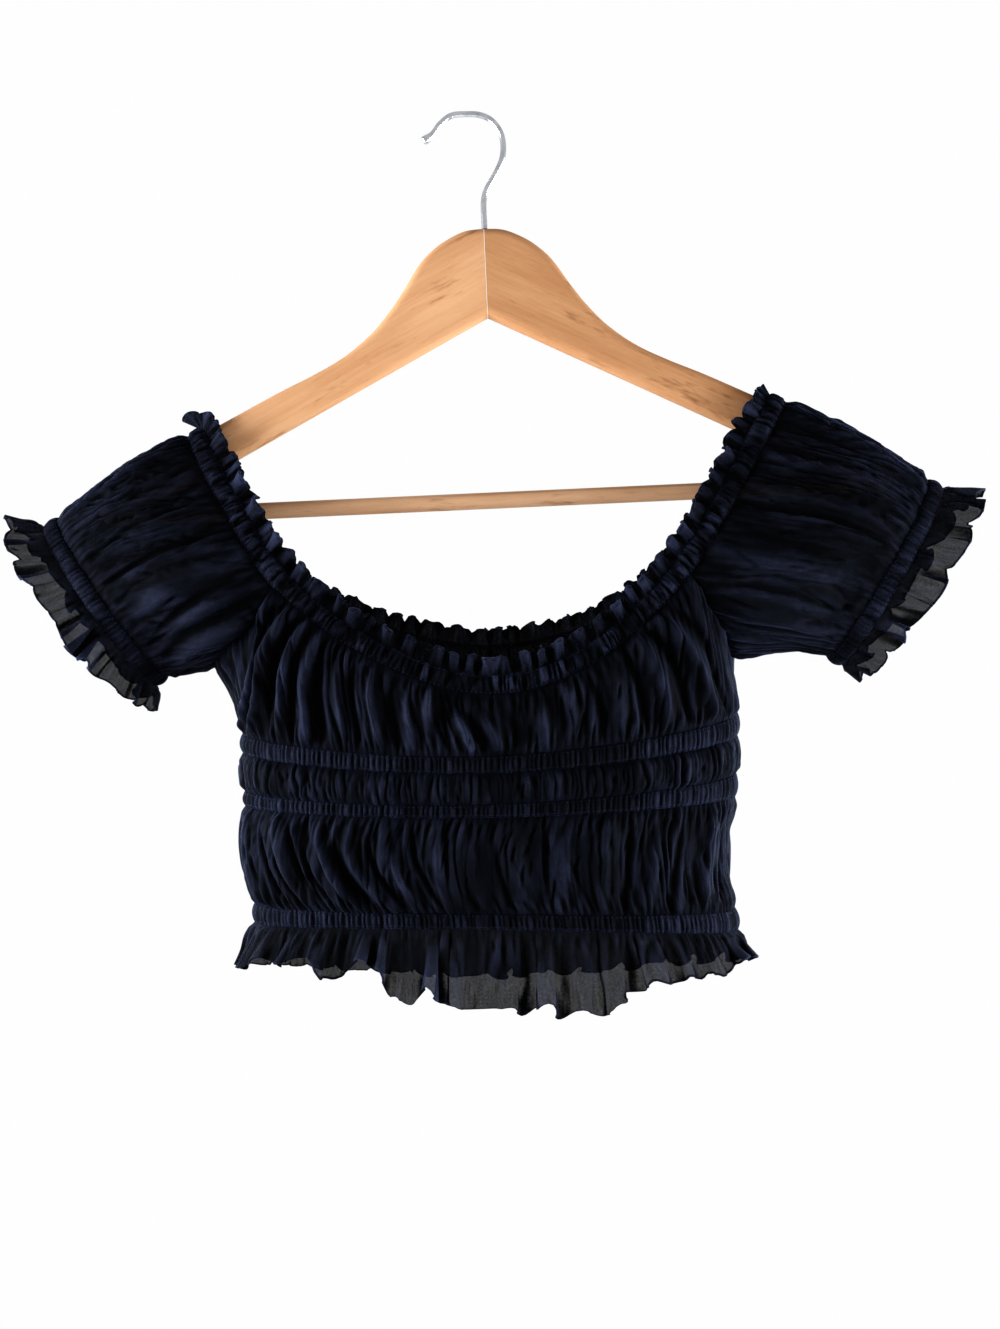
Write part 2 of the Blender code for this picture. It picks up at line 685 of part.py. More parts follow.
def make_arm(side, look, collection):
    """One wooden half, rounded along its edges and flat where it meets the other half."""
    name = f"hanger_arm_{side}"
    curve = bpy.data.curves.new("arm outline", "CURVE")
    curve.dimensions = "2D"
    curve.fill_mode = "BOTH"
    curve.extrude = ARM_THICKNESS / 2 * MM
    outline = arm_outline()
    spline = curve.splines.new("POLY")
    spline.points.add(len(outline) - 1)
    spline.use_cyclic_u = True
    for point, (x, z) in zip(spline.points, outline):
        point.co = (SIDE_SIGN[side] * x * MM, z * MM, 0, 1)
    guide = bpy.data.objects.new("arm outline", curve)
    collection.objects.link(guide)
    weld = guide.modifiers.new("Join caps", "WELD")
    weld.merge_threshold = 0.0001
    bevel = guide.modifiers.new("Rounded edges", "BEVEL")
    bevel.width = ARM_ROUNDING * MM
    bevel.segments = 2
    bevel.limit_method = "ANGLE"
    bevel.angle_limit = math.radians(60)
    bevel.use_clamp_overlap = False
    bpy.context.view_layer.update()
    ready = guide.evaluated_get(bpy.context.evaluated_depsgraph_get())
    mesh = bpy.data.meshes.new_from_object(ready)
    mesh.name = name
    bpy.data.objects.remove(guide, do_unlink=True)
    sign = SIDE_SIGN[side]
    cut_flat(mesh, Vector((sign * SEAM / 2 * MM, 0, 0)), Vector((-sign, 0, 0)))
    mesh.shade_smooth()
    mesh.set_sharp_from_angle(angle=math.radians(60))
    mesh.materials.clear()
    mesh.materials.append(finish(look))
    item = bpy.data.objects.new(name, mesh)
    collection.objects.link(item)
    x, z = on_hanger(*HANGER_APEX)
    item.matrix_world = (
        Matrix.Translation((x * MM, 0, z * MM))
        @ Matrix.Rotation(-HANGER_TILT, 4, "Y")
        @ Matrix.Rotation(math.radians(90), 4, "X")
    )


def make_bar(collection):
    bar_z = HANGER_APEX[1] - BAR_DROP
    reach = ARM_END
    x, z = on_hanger(HANGER_APEX[0], bar_z)
    bpy.ops.mesh.primitive_cylinder_add(vertices=16, radius=BAR_RADIUS * MM, depth=2 * reach * MM)
    bar = bpy.context.object
    bar.name = "hanger_bar"
    bar.data.name = "hanger_bar"
    for owner in list(bar.users_collection):
        owner.objects.unlink(bar)
    collection.objects.link(bar)
    # The ends follow the underside of the arms, a seam's gap below it
    to_bar = Matrix.Rotation(math.radians(90), 3, "Y").inverted()
    slope = math.atan(UNDERSIDE_SLOPE)
    height = BAR_DROP - NOTCH_DEPTH - SEAM / math.cos(slope)
    for sign in (-1, 1):
        normal = Vector((sign * math.sin(slope), 0, math.cos(slope)))
        cut_flat(bar.data, to_bar @ Vector((0, 0, height * MM)), to_bar @ normal)
    bar.matrix_world = (
        Matrix.Translation((x * MM, 0, z * MM))
        @ Matrix.Rotation(-HANGER_TILT, 4, "Y")
        @ Matrix.Rotation(math.radians(90), 4, "Y")
    )
    bar.data.shade_smooth()
    bar.data.set_sharp_from_angle(angle=math.radians(50))
    bar.data.materials.append(finish("bar wood"))


def make_hook(collection):
    curve = bpy.data.curves.new("hanger_hook", "CURVE")
    curve.dimensions = "3D"
    curve.bevel_depth = WIRE_RADIUS * MM
    curve.bevel_resolution = 2
    curve.use_fill_caps = True
    route = smooth_route(HOOK_ROUTE, HOOK_POINTS)
    spline = curve.splines.new("POLY")
    spline.points.add(len(route) - 1)
    for point, (x, z) in zip(spline.points, route):
        point.co = (x * MM, 0, z * MM, 1)
    for index, swell in ((-1, 1.35), (-2, 1.45), (-3, 1.1)):
        spline.points[index].radius = swell
    curve.materials.append(finish("chrome"))
    item = bpy.data.objects.new("hanger_hook", curve)
    collection.objects.link(item)
    weld = item.modifiers.new("Join caps", "WELD")
    weld.merge_threshold = 0.0001


def main():
    clear_scene()
    collection = bpy.data.collections.new("off-shoulder top on hanger")
    bpy.context.scene.collection.children.link(collection)
    for half in ("front", "back"):
        make_yoke(half, collection)
        make_panel("midriff", "upper band foot", "middle band top", half, collection)
        make_panel("waist", "middle band foot", "lower band top", half, collection)
    make_band("band_upper", "upper band", collection)
    make_band("band_middle", "middle band", collection)
    make_band("band_lower", "lower band", collection)
    make_hem_ruffle(collection)
    make_neckline(collection)
    for side in ("left", "right"):
        make_sleeve(side, collection)
        make_cuff(side, collection)
    make_arm("left", "pale wood", collection)
    make_arm("right", "wood", collection)
    make_bar(collection)
    make_hook(collection)


main()
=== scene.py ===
"""Looks of an off-shoulder top in dark crinkled voile, hung on its wooden hanger.

X runs to the viewer's right, Y away from the viewer and Z up, with the origin at the inner crown of
the hook. Sizes are in millimetres and become metres when a mesh is made.
"""

import math
import random

import bmesh
import bpy
import numpy as np
from mathutils import Matrix, Vector


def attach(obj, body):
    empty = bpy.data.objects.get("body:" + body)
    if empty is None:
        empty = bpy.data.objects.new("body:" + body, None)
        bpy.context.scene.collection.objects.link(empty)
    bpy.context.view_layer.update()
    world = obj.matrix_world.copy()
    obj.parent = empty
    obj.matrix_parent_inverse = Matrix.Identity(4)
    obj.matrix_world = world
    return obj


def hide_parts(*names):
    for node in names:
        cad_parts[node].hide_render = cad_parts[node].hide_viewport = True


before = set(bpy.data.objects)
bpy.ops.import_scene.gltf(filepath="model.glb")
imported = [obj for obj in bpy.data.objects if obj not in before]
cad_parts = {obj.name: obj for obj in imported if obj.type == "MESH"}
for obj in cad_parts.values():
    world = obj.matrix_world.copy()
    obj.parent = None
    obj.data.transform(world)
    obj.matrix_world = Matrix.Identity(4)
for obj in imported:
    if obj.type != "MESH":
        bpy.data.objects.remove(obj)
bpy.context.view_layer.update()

MM = 0.001

# Cloth and seams
VOILE_WALL = 0.35
ROLLED_HEM = 1.1
TUCK = 2.2
TUCK_DEPTH = 0.7
TUCKED_FOLDS = 0.3
SEAM_HOLD = 0.25
SEAM_REACH = 5.0
CASING_SEAM_REACH = 3.0
SEAM = 0.3
CASING_WIDTH = 11.0
CASING_PUFF = 0.9
CASING_INSET = 0.6
CUFF_BAND_WIDTH = 9.0
YOKE_PUFF = 3.0
SLEEVE_CROWN_PUFF = 0.5
SLEEVE_SIDE_PUFF = 5.5
BODY_SQUARENESS = 2.4
BODY_MIDDLE = np.array([13.0, 0.0, -360.0])

# Folds
FIELD_WAVES = 7
FIELD_SIZE = 3.7
ZIGZAG = 0.22
FINE_PLEATS = 0.55
MAIN_FOLD_WANDER = 0.8
CREASE_WIDTH = 0.9
# How fold crests are measured for the painted shade in creases and the painted light on crests
CREST_REACH = 7.0
CREST_HEIGHT = 2.1

# Ruffles: their waves, how wide they stand, and how they lean at the neck and the shoulders
NECK_LEAN = 0.35
NECK_RUFFLE_WIDTH = 6.5
NECK_RUFFLE_LEAN = math.radians(22)
SHOULDER_FLOP = math.radians(80)
HEADING_OVERLAP = 2.4
HEADING_LEAN_WAVE = 0.35
HEADING_LOBES = 3.6
HEADING_WAVE_HEIGHT = 3.0
HEADING_CURL = 1.5
HEADING_WANDER = 0.5
HEADING_COLUMN = 0.75
SHOULDER_FLOP_REACH = 7.0
LOW_SHOULDER_SHARE = 0.4
LOW_SHOULDER_REACH = 12.0
HEADING_WAVES = 84
HEM_WAVES = 31
HEM_WAVE_HEIGHT = 3.8
HEM_CURL = 2.8
NOTCH_LEVEL = 0.6
CUFF_WAVES = 12
CUFF_WAVE_HEIGHT = 4.6
CUFF_CURL = 4.6
CUFF_LOBES = 5.0
CUFF_RUFFLE_TOP_WIDTH = 20.0
CUFF_RUFFLE_FOOT_WIDTH = 12.0
CUFF_RUFFLE_BULGE = 4.0
CUFF_RUFFLE_FLARE = 0.25

# Hanger
HANGER_TILT = math.radians(2.6)
HANGER_APEX = (7.0, -62.4)
ARM_THICKNESS = 12.0
ARM_ROUNDING = 4.6
ARM_END = 218.0
ARM_END_RADIUS = 11.0
ARM_END_LEAN = 0.2
JOINT_OVERLAP = 12.0
JOINT_GAP = 0.15
NOTCH_DEPTH = 48.4
UNDERSIDE_SLOPE = 0.51
TOP_SLOPE = 0.49
BAR_RADIUS = 4.5
BAR_DROP = 149.0
WIRE_RADIUS = 1.6
WIRE_CAP_POINTS = 12
WIRE_CAP_SWELL = 0.45
CAP_WELD = 0.01

# Top edge of one arm: distance from the middle, depth below the apex
ARM_TOP = [
    (0.0, 0.0), (11.0, 1.1), (23.0, 6.6), (32.0, 13.5), (38.5, 21.0), (46.0, 32.5),
    (54.5, 44.0), (65.0, 55.5), (80.0, 67.0), (97.0, 76.0), (118.0, 85.5), (148.5, 100.5),
]

# Middle of the hook's wire, from the wood to the free tip: x, z
HOOK_ROUTE = [
    (10.2, -61.5), (9.7, -47.0), (11.6, -39.4), (17.6, -28.6), (20.4, -19.8), (19.5, -9.9),
    (14.6, -2.4), (7.7, 1.1), (-0.2, 1.6), (-8.0, 0.8), (-13.9, -3.5), (-18.8, -9.9),
    (-23.7, -13.4),
]

# Upper line of the neck casing all round: place, x, y, z, and the angle from straight down at which
# the cloth leaves it, positive to the viewer's right
NECKLINE = [
    ("left shoulder", -142.5, 0, -171.0, -61),
    ("", -140.5, -9, -176.0, -60),
    ("", -132.5, -14, -192.0, -59),
    ("", -119.5, -20, -214.5, -58),
    ("", -108.0, -26, -234.0, -53),
    ("front seam left", -94.0, -31, -252.5, -42),
    ("", -70.5, -36, -273.0, -34),
    ("", -41.5, -40, -290.5, -20),
    ("", -12.5, -42, -302.5, -9),
    ("front middle", 12.0, -43, -306.5, 0),
    ("", 37.0, -42, -303.0, 9),
    ("", 63.0, -40, -291.5, 20),
    ("", 88.0, -36, -272.0, 34),
    ("front seam right", 111.0, -31, -246.5, 48),
    ("", 125.5, -26, -224.5, 57),
    ("", 138.0, -20, -203.5, 61),
    ("", 150.5, -14, -180.5, 63),
    ("", 162.5, -9, -158.0, 65),
    ("right shoulder", 165.5, 0, -152.8, 66),
    ("", 163.0, 9, -158.0, 65),
    ("", 156.0, 14, -176.0, 63),
    ("", 146.5, 19, -196.5, 60),
    ("back seam right", 126.5, 24, -233.0, 48),
    ("", 99.5, 27, -260.0, 30),
    ("", 67.5, 29, -279.0, 13),
    ("back middle", 11.5, 30, -290.0, 0),
    ("", -45.5, 29, -280.0, -14),
    ("", -75.5, 27, -268.0, -29),
    ("back seam left", -104.0, 24, -250.0, -48),
    ("", -126.5, 19, -214.5, -60),
    ("", -135.0, 14, -193.5, -61),
    ("", -141.0, 9, -176.0, -61),
]

# Levels of the body: side-to-side reach, depth to the front and back, and the height at the left,
# front, right and back
LEVELS = {
    "upper band top": (-121.5, 148.0, -46, 35, -338.0, -348.5, -326.5, -336.0),
    "upper band foot": (-121.5, 148.0, -46, 35, -348.0, -357.5, -338.5, -346.0),
    "midriff middle": (-122.0, 149.0, -49, 38, -359.0, -365.5, -349.0, -356.5),
    "middle band top": (-120.0, 147.5, -46, 35, -369.5, -373.5, -359.5, -367.0),
    "middle band foot": (-120.0, 147.0, -46, 35, -377.5, -380.5, -372.0, -376.0),
    "waist middle": (-122.5, 143.0, -50, 39, -404.5, -405.5, -403.5, -404.5),
    "lower band top": (-115.0, 147.0, -46, 35, -431.0, -430.5, -434.5, -433.0),
    "lower band foot": (-115.0, 148.5, -46, 36, -441.5, -438.5, -446.0, -443.0),
    "hem": (-122.0, 156.5, -53, 42, -466.5, -477.0, -462.5, -481.0),
}

# Lobes and notches of the hem ruffle's front edge: x, z
HEM_FRONT = [
    (-122, -466), (-106, -457), (-98, -459), (-83, -454), (-74, -464), (-68, -464), (-53, -454),
    (-45, -459), (-38, -472), (-28, -476), (-19, -468), (-12, -475), (0, -478), (18, -478),
    (25, -477), (31, -481), (37, -478), (44, -475), (50, -483), (59, -479), (72, -482),
    (82, -476), (86, -470), (92, -470), (98, -466), (106, -467), (114, -466), (117, -464),
    (124, -466), (128, -463), (135, -466), (148, -459), (157, -461),
]

# Underarm points, the way the side falls from them, and how the raglan seams leave the neck casing
# and round the underarm: x, y, z
UNDERARM = {"left": (-138.0, 0.0, -302.5), "right": (145.0, 0.0, -297.0)}
UNDERARM_WAY = {"left": (0.6, 0.0, -0.8), "right": (-0.1, 0.0, -1.0)}
RAGLAN_DROP = {"left": (-3.0, 0.0, -15.0), "right": (5.0, 0.0, -12.0)}
UNDERARM_ROUNDING = 9.0
UNDERARM_RISE = 5.0
YOKE_FORWARD = 0.3
YOKE_STRAIGHTENING = 0.55
SLEEVE_TURN = 0.7

# Sleeves: the cuff's highest and lowest points (x, z), its half depth, the crown's slope into the
# cuff in degrees below level, how many degrees it lifts off the line of the arm at the shoulder, and
# the outward directions of the ruffle at its top and foot (x, z)
SLEEVES = {
    "left": {
        "cuff_top": (-223.5, -221.0),
        "cuff_foot": (-164.5, -307.5),
        "half_depth": 29.0,
        "crown_slope": 36.0,
        "crown_lift": 14.0,
        "ruffle_top": (-1.0, -0.05),
        "ruffle_foot": (-0.45, -0.89),
    },
    "right": {
        "cuff_top": (253.0, -200.0),
        "cuff_foot": (199.0, -296.5),
        "half_depth": 29.0,
        "crown_slope": 38.0,
        "crown_lift": 0.0,
        "ruffle_top": (0.97, -0.40),
        "ruffle_foot": (0.98, -0.20),
    },
}
SIDE_SIGN = {"left": -1.0, "right": 1.0}
FACING = {"front": -1.0, "back": 1.0}


def upright(x, z):
    return np.array([x, 0.0, z])


def lengths(vectors):
    return np.linalg.norm(vectors, axis=-1)


def unit(vectors):
    return vectors / np.linalg.norm(vectors, axis=-1, keepdims=True)


def mix(first, second, share):
    return first * (1 - share) + second * share


def bell(offset, reach):
    return np.exp(-((offset / reach) ** 2))


def soft_step(values, start, end):
    t = np.clip((values - start) / (end - start), 0, 1)
    return t * t * (3 - 2 * t)


def rows_down(count):
    """Shares of the way down a grid of cloth, one for each row."""
    return np.linspace(0, 1, count)[:, None, None]


def turns_round(count):
    """Shares of a turn round a ring, one for each column."""
    return np.arange(count) / count


def travelled(line):
    """How far along a line each of its points is."""
    return np.concatenate([[0], np.cumsum(lengths(np.diff(line, axis=0)))])


def read_rows(places, known, rows):
    """Read rows of values between the known places."""
    return np.stack([np.interp(places, known, column) for column in rows.T], axis=-1)


def smooth_loop(points, steps):
    """Read a closed smooth curve through the points, steps places for each of them."""
    here, before, after, second = (np.roll(points, shift, axis=0)[:, None] for shift in (0, 1, -1, -2))
    t = turns_round(steps)[:, None]
    slope = after - before
    bend = 2 * before - 5 * here + 4 * after - second
    twist = 3 * here - before - 3 * after + second
    curve = 0.5 * (2 * here + slope * t + bend * t**2 + twist * t**3)
    return curve.reshape(-1, points.shape[1])


def smooth_route(points, count):
    """Read an open smooth curve through the points at even spacing."""
    points = np.array(points, dtype=float)
    first = 2 * points[0] - points[1]
    last = 2 * points[-1] - points[-2]
    padded = np.vstack([first, points, last, last + points[-1] - points[-2]])
    dense = smooth_loop(padded, 12)[12 : 12 * len(points) + 1]
    known = travelled(dense)
    return read_rows(np.linspace(0, known[-1], count), known, dense)


class Neckline:
    """The closed line of the neck casing, read by a place w that grows by 1 for each turn."""

    STEPS = 48
    SHOULDER_REACH = 16.0
    SHOULDER_CROWDING = 1.6
    FRONT_DEPTH = 43.0
    MIDDLE = np.array([13.0, 0.0, -330.0])

    def __init__(self):
        self.rows = smooth_loop(np.array([row[1:] for row in NECKLINE], dtype=float), self.STEPS)
        points = self.rows[:, :3]
        shoulders = [points[self.index(name)] for name in ("left shoulder", "right shoulder")]
        nearest = np.min([lengths(points - shoulder) for shoulder in shoulders], axis=0)
        crowding = 1 + self.SHOULDER_CROWDING * bell(nearest, self.SHOULDER_REACH)
        weighted = lengths(np.roll(points, -1, axis=0) - points) * crowding
        self.places = np.concatenate([[0], np.cumsum(weighted)]) / weighted.sum()

    def index(self, name):
        return [row[0] for row in NECKLINE].index(name) * self.STEPS

    def place(self, name):
        return self.places[self.index(name)]

    def read(self, w):
        return read_rows(np.mod(w, 1.0), self.places, np.vstack([self.rows, self.rows[:1]]))

    def line(self, w):
        """Points of the casing's upper line, the way the cloth falls there and its outer side."""
        rows = self.read(w)
        points = rows[:, :3]
        fall = np.radians(rows[:, 3])
        lean = NECK_LEAN * points[:, 1] / self.FRONT_DEPTH
        down = unit(np.stack([np.sin(fall), lean, -np.cos(fall)], axis=-1))
        ahead = self.read(w + 0.002) - self.read(w - 0.002)
        outward = unit(np.cross(ahead[:, :3], down))
        outward *= np.sign(np.sum(outward * (points - self.MIDDLE), axis=-1, keepdims=True))
        return points, down, outward

    def from_shoulder(self, points, side):
        return lengths(points - self.rows[self.index(f"{side} shoulder"), :3])


NECK = Neckline()


def signed_power(values):
    return np.sign(values) * np.abs(values) ** (2 / BODY_SQUARENESS)


def half_ring(level, half, places):
    """Points round the front or the back of the body at a level, from left to right."""
    left, right, front, back, z_left, z_front, z_right, z_back = LEVELS[level]
    depth, z_middle = {"front": (front, z_front), "back": (back, z_back)}[half]
    turn = np.linspace(0, math.pi, 1600)
    x = (left + right) / 2 - (right - left) / 2 * signed_power(np.cos(turn))
    y = depth * signed_power(np.sin(turn))
    way = travelled(np.stack([x, y], axis=1))
    share = way / way[-1]
    z = mix(z_left, z_right, share) + (z_middle - (z_left + z_right) / 2) * np.sin(math.pi * share)
    return read_rows(places, share, np.stack([x, y, z], axis=1))


def ring(level, count):
    """Points round the body at a level: the front from left to right, then the back to the left."""
    places = turns_round(count // 2)
    return np.vstack([half_ring(level, "front", places), half_ring(level, "back", 1 - places)])


def raglan_seam(side, half, places):
    """Seam from the neck casing, place 0, round to the underarm, place 1."""
    top, down, _ = NECK.line(np.array([NECK.place(f"{half} seam {side}")]))
    start = top[0] + down[0] * CASING_WIDTH
    end = np.array(UNDERARM[side])
    leave = start + np.array(RAGLAN_DROP[side])
    arrive = end + np.array([0.0, FACING[half] * UNDERARM_ROUNDING, UNDERARM_RISE])
    t = places[:, None]
    return (1 - t) ** 3 * start + 3 * t * (1 - t) ** 2 * leave + 3 * t**2 * (1 - t) * arrive + t**3 * end


def loft(start, start_way, end, end_way, count):
    """Rows between two edges that leave and arrive along the given ways."""
    chord = np.linalg.norm(end - start, axis=1, keepdims=True)
    v = rows_down(count)
    leaving = (v**3 - 2 * v**2 + v) * chord * start_way
    arriving = (v**3 - v**2) * chord * end_way
    return mix(start, end, 3 * v**2 - 2 * v**3) + leaving + arriving


class Cloth:
    """A grid of cloth points, rows down the cloth and columns across it, that takes folds."""

    def __init__(self, grid, middle, closed=True):
        self.grid = grid
        self.closed = closed
        self.middle = middle
        rows, columns = grid.shape[:2]
        line = grid[rows // 2]
        steps = travelled(np.vstack([line, line[:1]]) if closed else line)
        self.length = steps[-1]
        self.across = steps[None, :columns]
        self.turn = self.across / self.length
        falls = lengths(np.diff(grid, axis=0))
        self.down = np.vstack([np.zeros((1, columns)), np.cumsum(falls, axis=0)])
        self.from_foot = self.down[-1] - self.down
        self.share = np.repeat(np.linspace(0, 1, rows)[:, None], columns, axis=1)
        self.bow = np.sin(math.pi * self.share)
        self.heights, self.slide, self.edge = np.zeros((3, rows, columns))

    def offset_from(self, place):
        """How far each point is across the cloth from a place, the short way round a ring."""
        offset = self.across - place
        if self.closed:
            offset = (offset + self.length / 2) % self.length - self.length / 2
        return offset

    def sideways(self):
        if self.closed:
            return unit(np.roll(self.grid, -1, axis=1) - np.roll(self.grid, 1, axis=1))
        return unit(np.gradient(self.grid, axis=1))

    def normals(self):
        normals = unit(np.cross(self.sideways(), np.gradient(self.grid, axis=0)))
        away = np.sum(normals * (self.grid - self.middle), axis=-1)
        return normals if away.mean() > 0 else -normals

    def folded(self):
        moved = self.normals() * self.heights[:, :, None] + self.sideways() * self.slide[:, :, None]
        return self.grid + moved

    def unevenness(self, seed, size, stretch=1.0):
        """A soft field from about -1 to 1, with spots size millimetres across, stretch times as long."""
        chooser = random.Random(seed)
        total = np.zeros_like(self.heights)
        waves = max(1, round(self.length / size))
        for _ in range(FIELD_WAVES):
            turns = max(1, round(waves * chooser.uniform(0.45, 1.3)))
            fall = chooser.uniform(-0.5, 0.5) / (size * stretch)
            total += np.sin(math.tau * (turns * self.turn + fall * self.down + chooser.random()))
        return total / FIELD_SIZE

    def swells(self, seed, size, height, stretch=1.0):
        self.heights += height * self.unevenness(seed, size, stretch)

    def ridges(self, seed, pitch, wander, stretch):
        """Close round ridges, 0 in the creases between them and 1 on their crests."""
        phase = uneven_phase(self.turn, max(2, round(self.length / pitch)), seed)
        phase = phase + wander * self.unevenness(f"{seed} wander", 5 * pitch, stretch)
        phase = phase + ZIGZAG * self.unevenness(f"{seed} zigzag", 2.2 * pitch, 0.7)
        return np.abs(np.sin(math.pi * phase)) ** 0.8

    def pleats(self, seed, pitch, height, wander, where=1.0, stretch=5.0):
        """Lay close ridges down the cloth that here and there split into finer ones."""
        share = soft_step(self.unevenness(f"{seed} share", 5 * pitch, 2.5), -0.25, 0.25)
        tall = 0.85 + 0.45 * self.unevenness(f"{seed} size", 3 * pitch, 3.0)
        broad = self.ridges(seed, pitch, wander, stretch)
        fine = FINE_PLEATS * self.ridges(f"{seed} fine", pitch * 0.58, wander * 1.4, stretch)
        self.heights += height * tall * where * mix(fine, broad, share)

    def calm(self, middle, reach, share):
        """A factor that lays folds lower about a place, both as shares of the way across."""
        return 1 - share * bell(self.turn - middle, reach)

    def main_folds(self, table):
        """Add a ridge or a trough for each row of a table, with a crest that may lean sideways."""
        for top, foot, start, end, width, height, lean in table:
            line = self.length * mix(top, foot, self.share)
            offset = self.offset_from(line + MAIN_FOLD_WANDER * np.sin(math.tau * (self.share + top)))
            opening = min(0.35, (end - start) / 2)
            reach = soft_step(self.share, start, start + opening)
            reach = reach * (1 - soft_step(self.share, end - opening, end))
            shape = reach * bell(offset, width * (0.5 + 0.5 * reach))
            self.heights += height * shape
            self.slide += lean * shape

    def edge_gathers(self, seed, pitch, height, reach, edges=("top", "foot")):
        """Add fine gathers that start at the gathered edges and run out into the cloth."""
        for edge in edges:
            chooser = random.Random(f"{seed} {edge}")
            from_edge = self.down if edge == "top" else self.from_foot
            place = 0.0
            while place < self.length:
                long = reach * chooser.uniform(0.35, 1.6)
                offset = self.offset_from(place + chooser.uniform(-0.12, 0.12) * from_edge)
                fade = 1 - soft_step(from_edge, long * 0.4, long)
                width = pitch * (0.34 + 0.25 * soft_step(from_edge, 0.0, long))
                self.heights += height * chooser.uniform(0.45, 1.2) * fade * bell(offset, width)
                place += pitch * chooser.uniform(0.7, 1.35)

    def creases(self, seed, count, length, depth, slant):
        """Press thin sharp troughs into the cloth, most of them running down it."""
        chooser = random.Random(seed)
        tall = self.down[-1].max()
        for _ in range(count):
            place = chooser.uniform(0, self.length)
            long = length * chooser.uniform(0.4, 1.3)
            below = self.down - chooser.uniform(-0.15, 1.0) * tall
            t = below / long
            place = place + chooser.uniform(-slant, slant) * below
            offset = self.offset_from(place + chooser.uniform(-1.2, 1.2) * np.sin(3 * t))
            inside = soft_step(t, 0.0, 0.3) * (1 - soft_step(t, 0.6, 1.0))
            self.heights -= depth * chooser.uniform(0.4, 1.0) * inside * bell(offset, CREASE_WIDTH)

    def small_folds(self, kind, seed, where=1.0, edges=("top", "foot")):
        """Add the pleats, edge gathers, creases and swells that SMALL_FOLDS gives for a kind of piece."""
        pleats, gathers, creases, swells = SMALL_FOLDS[kind]
        self.pleats(seed, *pleats, where)
        self.edge_gathers(seed, *gathers, edges)
        self.creases(seed, *creases)
        self.swells(seed, *swells)

    def puckers(self, seed, pitch, height, edge_share=0.4):
        """Gather an elastic channel: close uneven waves, lower where the stitching holds them."""
        waves = round(self.length / pitch)
        bent = self.turn + 0.2 / waves * self.bow * uneven_wave(self.turn, max(3, waves // 4), seed)
        held = mix(edge_share, 1, self.bow)
        self.heights += height * held * (0.5 + 0.5 * uneven_wave(bent, waves, seed))

    def ruffle(self, waves, height, curl, seed, opening=1.2):
        """Open ruffle waves towards the free edge at the foot, curled over where curl is large."""
        phase = math.tau * uneven_phase(self.turn, waves, seed)
        swell = 0.7 + 0.3 * np.sin(math.tau * round(waves * 0.37) * self.turn)
        opened = self.share**opening * swell
        self.heights += height * opened * np.sin(phase)
        self.slide -= curl * opened * np.sin(2 * phase)

    def hold(self, from_seam, reach=SEAM_REACH):
        """Flatten the folds towards a seam."""
        held = mix(SEAM_HOLD, 1, soft_step(from_seam, 0.0, reach))
        self.heights *= held
        self.slide *= held

    def tuck(self, edge, inner):
        """Carry an edge on under the neighbouring piece, away from the row or column inside it."""
        onward = unit(self.grid[edge] - self.grid[inner])
        self.grid[edge] += onward * TUCK - self.normals()[edge] * TUCK_DEPTH

    def sew_edges(self, foot=True):
        """Hold the gathered edges and tuck them under the neighbouring pieces."""
        seams = [(0, 1, self.down), (-1, -2, self.from_foot)]
        for edge, inner, from_seam in seams if foot else seams[:1]:
            self.hold(from_seam)
            self.tuck(edge, inner)
            self.heights[edge] *= TUCKED_FOLDS

    def sew_sides(self, half):
        """Hold the side seams and tuck the back's sides under the front's."""
        for edge, inner, from_seam in ((0, 1, self.across), (-1, -2, self.length - self.across)):
            self.hold(from_seam)
            if half == "front":
                self.grid[:, edge, 1] -= SEAM / 2
            else:
                self.tuck(np.s_[:, edge], np.s_[:, inner])

    def crests(self):
        """How far each point is up its fold: 0 deep in a crease and 1 on a crest. The voile paints shade
        into the creases and light onto the crests from it.
        """
        reach = max(1, round(CREST_REACH * self.heights.shape[1] / self.length))
        window = np.hanning(2 * reach + 3)[1:-1]
        padded = np.pad(self.heights, ((0, 0), (reach, reach)), mode="wrap" if self.closed else "edge")
        level = np.array([np.convolve(row, window / window.sum(), mode="valid") for row in padded])
        return soft_step(self.heights - level, -CREST_HEIGHT, CREST_HEIGHT)


def uneven_phase(turn, waves, seed, wander=0.35):
    """Count waves at uneven places; turn runs from 0 to 1 round a ring."""
    chooser = random.Random(seed)
    phase = waves * turn
    for k in range(1, 8):
        turns = round(waves * chooser.uniform(0.08, 0.45)) + k
        size = wander * chooser.uniform(0.12, 0.4)
        phase = phase + size * np.sin(math.tau * (turns * turn + chooser.random()))
    return phase


def uneven_wave(turn, waves, seed, wander=0.35):
    """A wave from -1 to 1 whose crests come at uneven places and are not all as high."""
    size = 0.75 + 0.25 * np.sin(math.tau * (round(waves * 0.3) * turn + waves * 0.17))
    return size * np.sin(math.tau * uneven_phase(turn, waves, seed, wander))


def scallops(turn, waves, seed, wander=0.35):
    """Rounded lobes from 0 in the notches to 1, at the places where the same wave stands out."""
    return np.abs(np.sin(math.pi * (uneven_phase(turn, waves, seed, wander) + 0.25))) ** 0.6


def eased(x, table):
    """Read a table of x and value with rounded turns at its rows."""
    places, values = np.array(table, dtype=float).T
    row = np.clip(np.searchsorted(places, x) - 1, 0, len(places) - 2)
    share = soft_step((x - places[row]) / (places[row + 1] - places[row]), 0, 1)
    return mix(values[row], values[row + 1], share)


def add_object(name, data, spot=(0.0, 0.0, 0.0)):
    item = bpy.data.objects.new(name, data)
    item.location = Vector(spot) * MM
    bpy.context.scene.collection.objects.link(item)
    return item


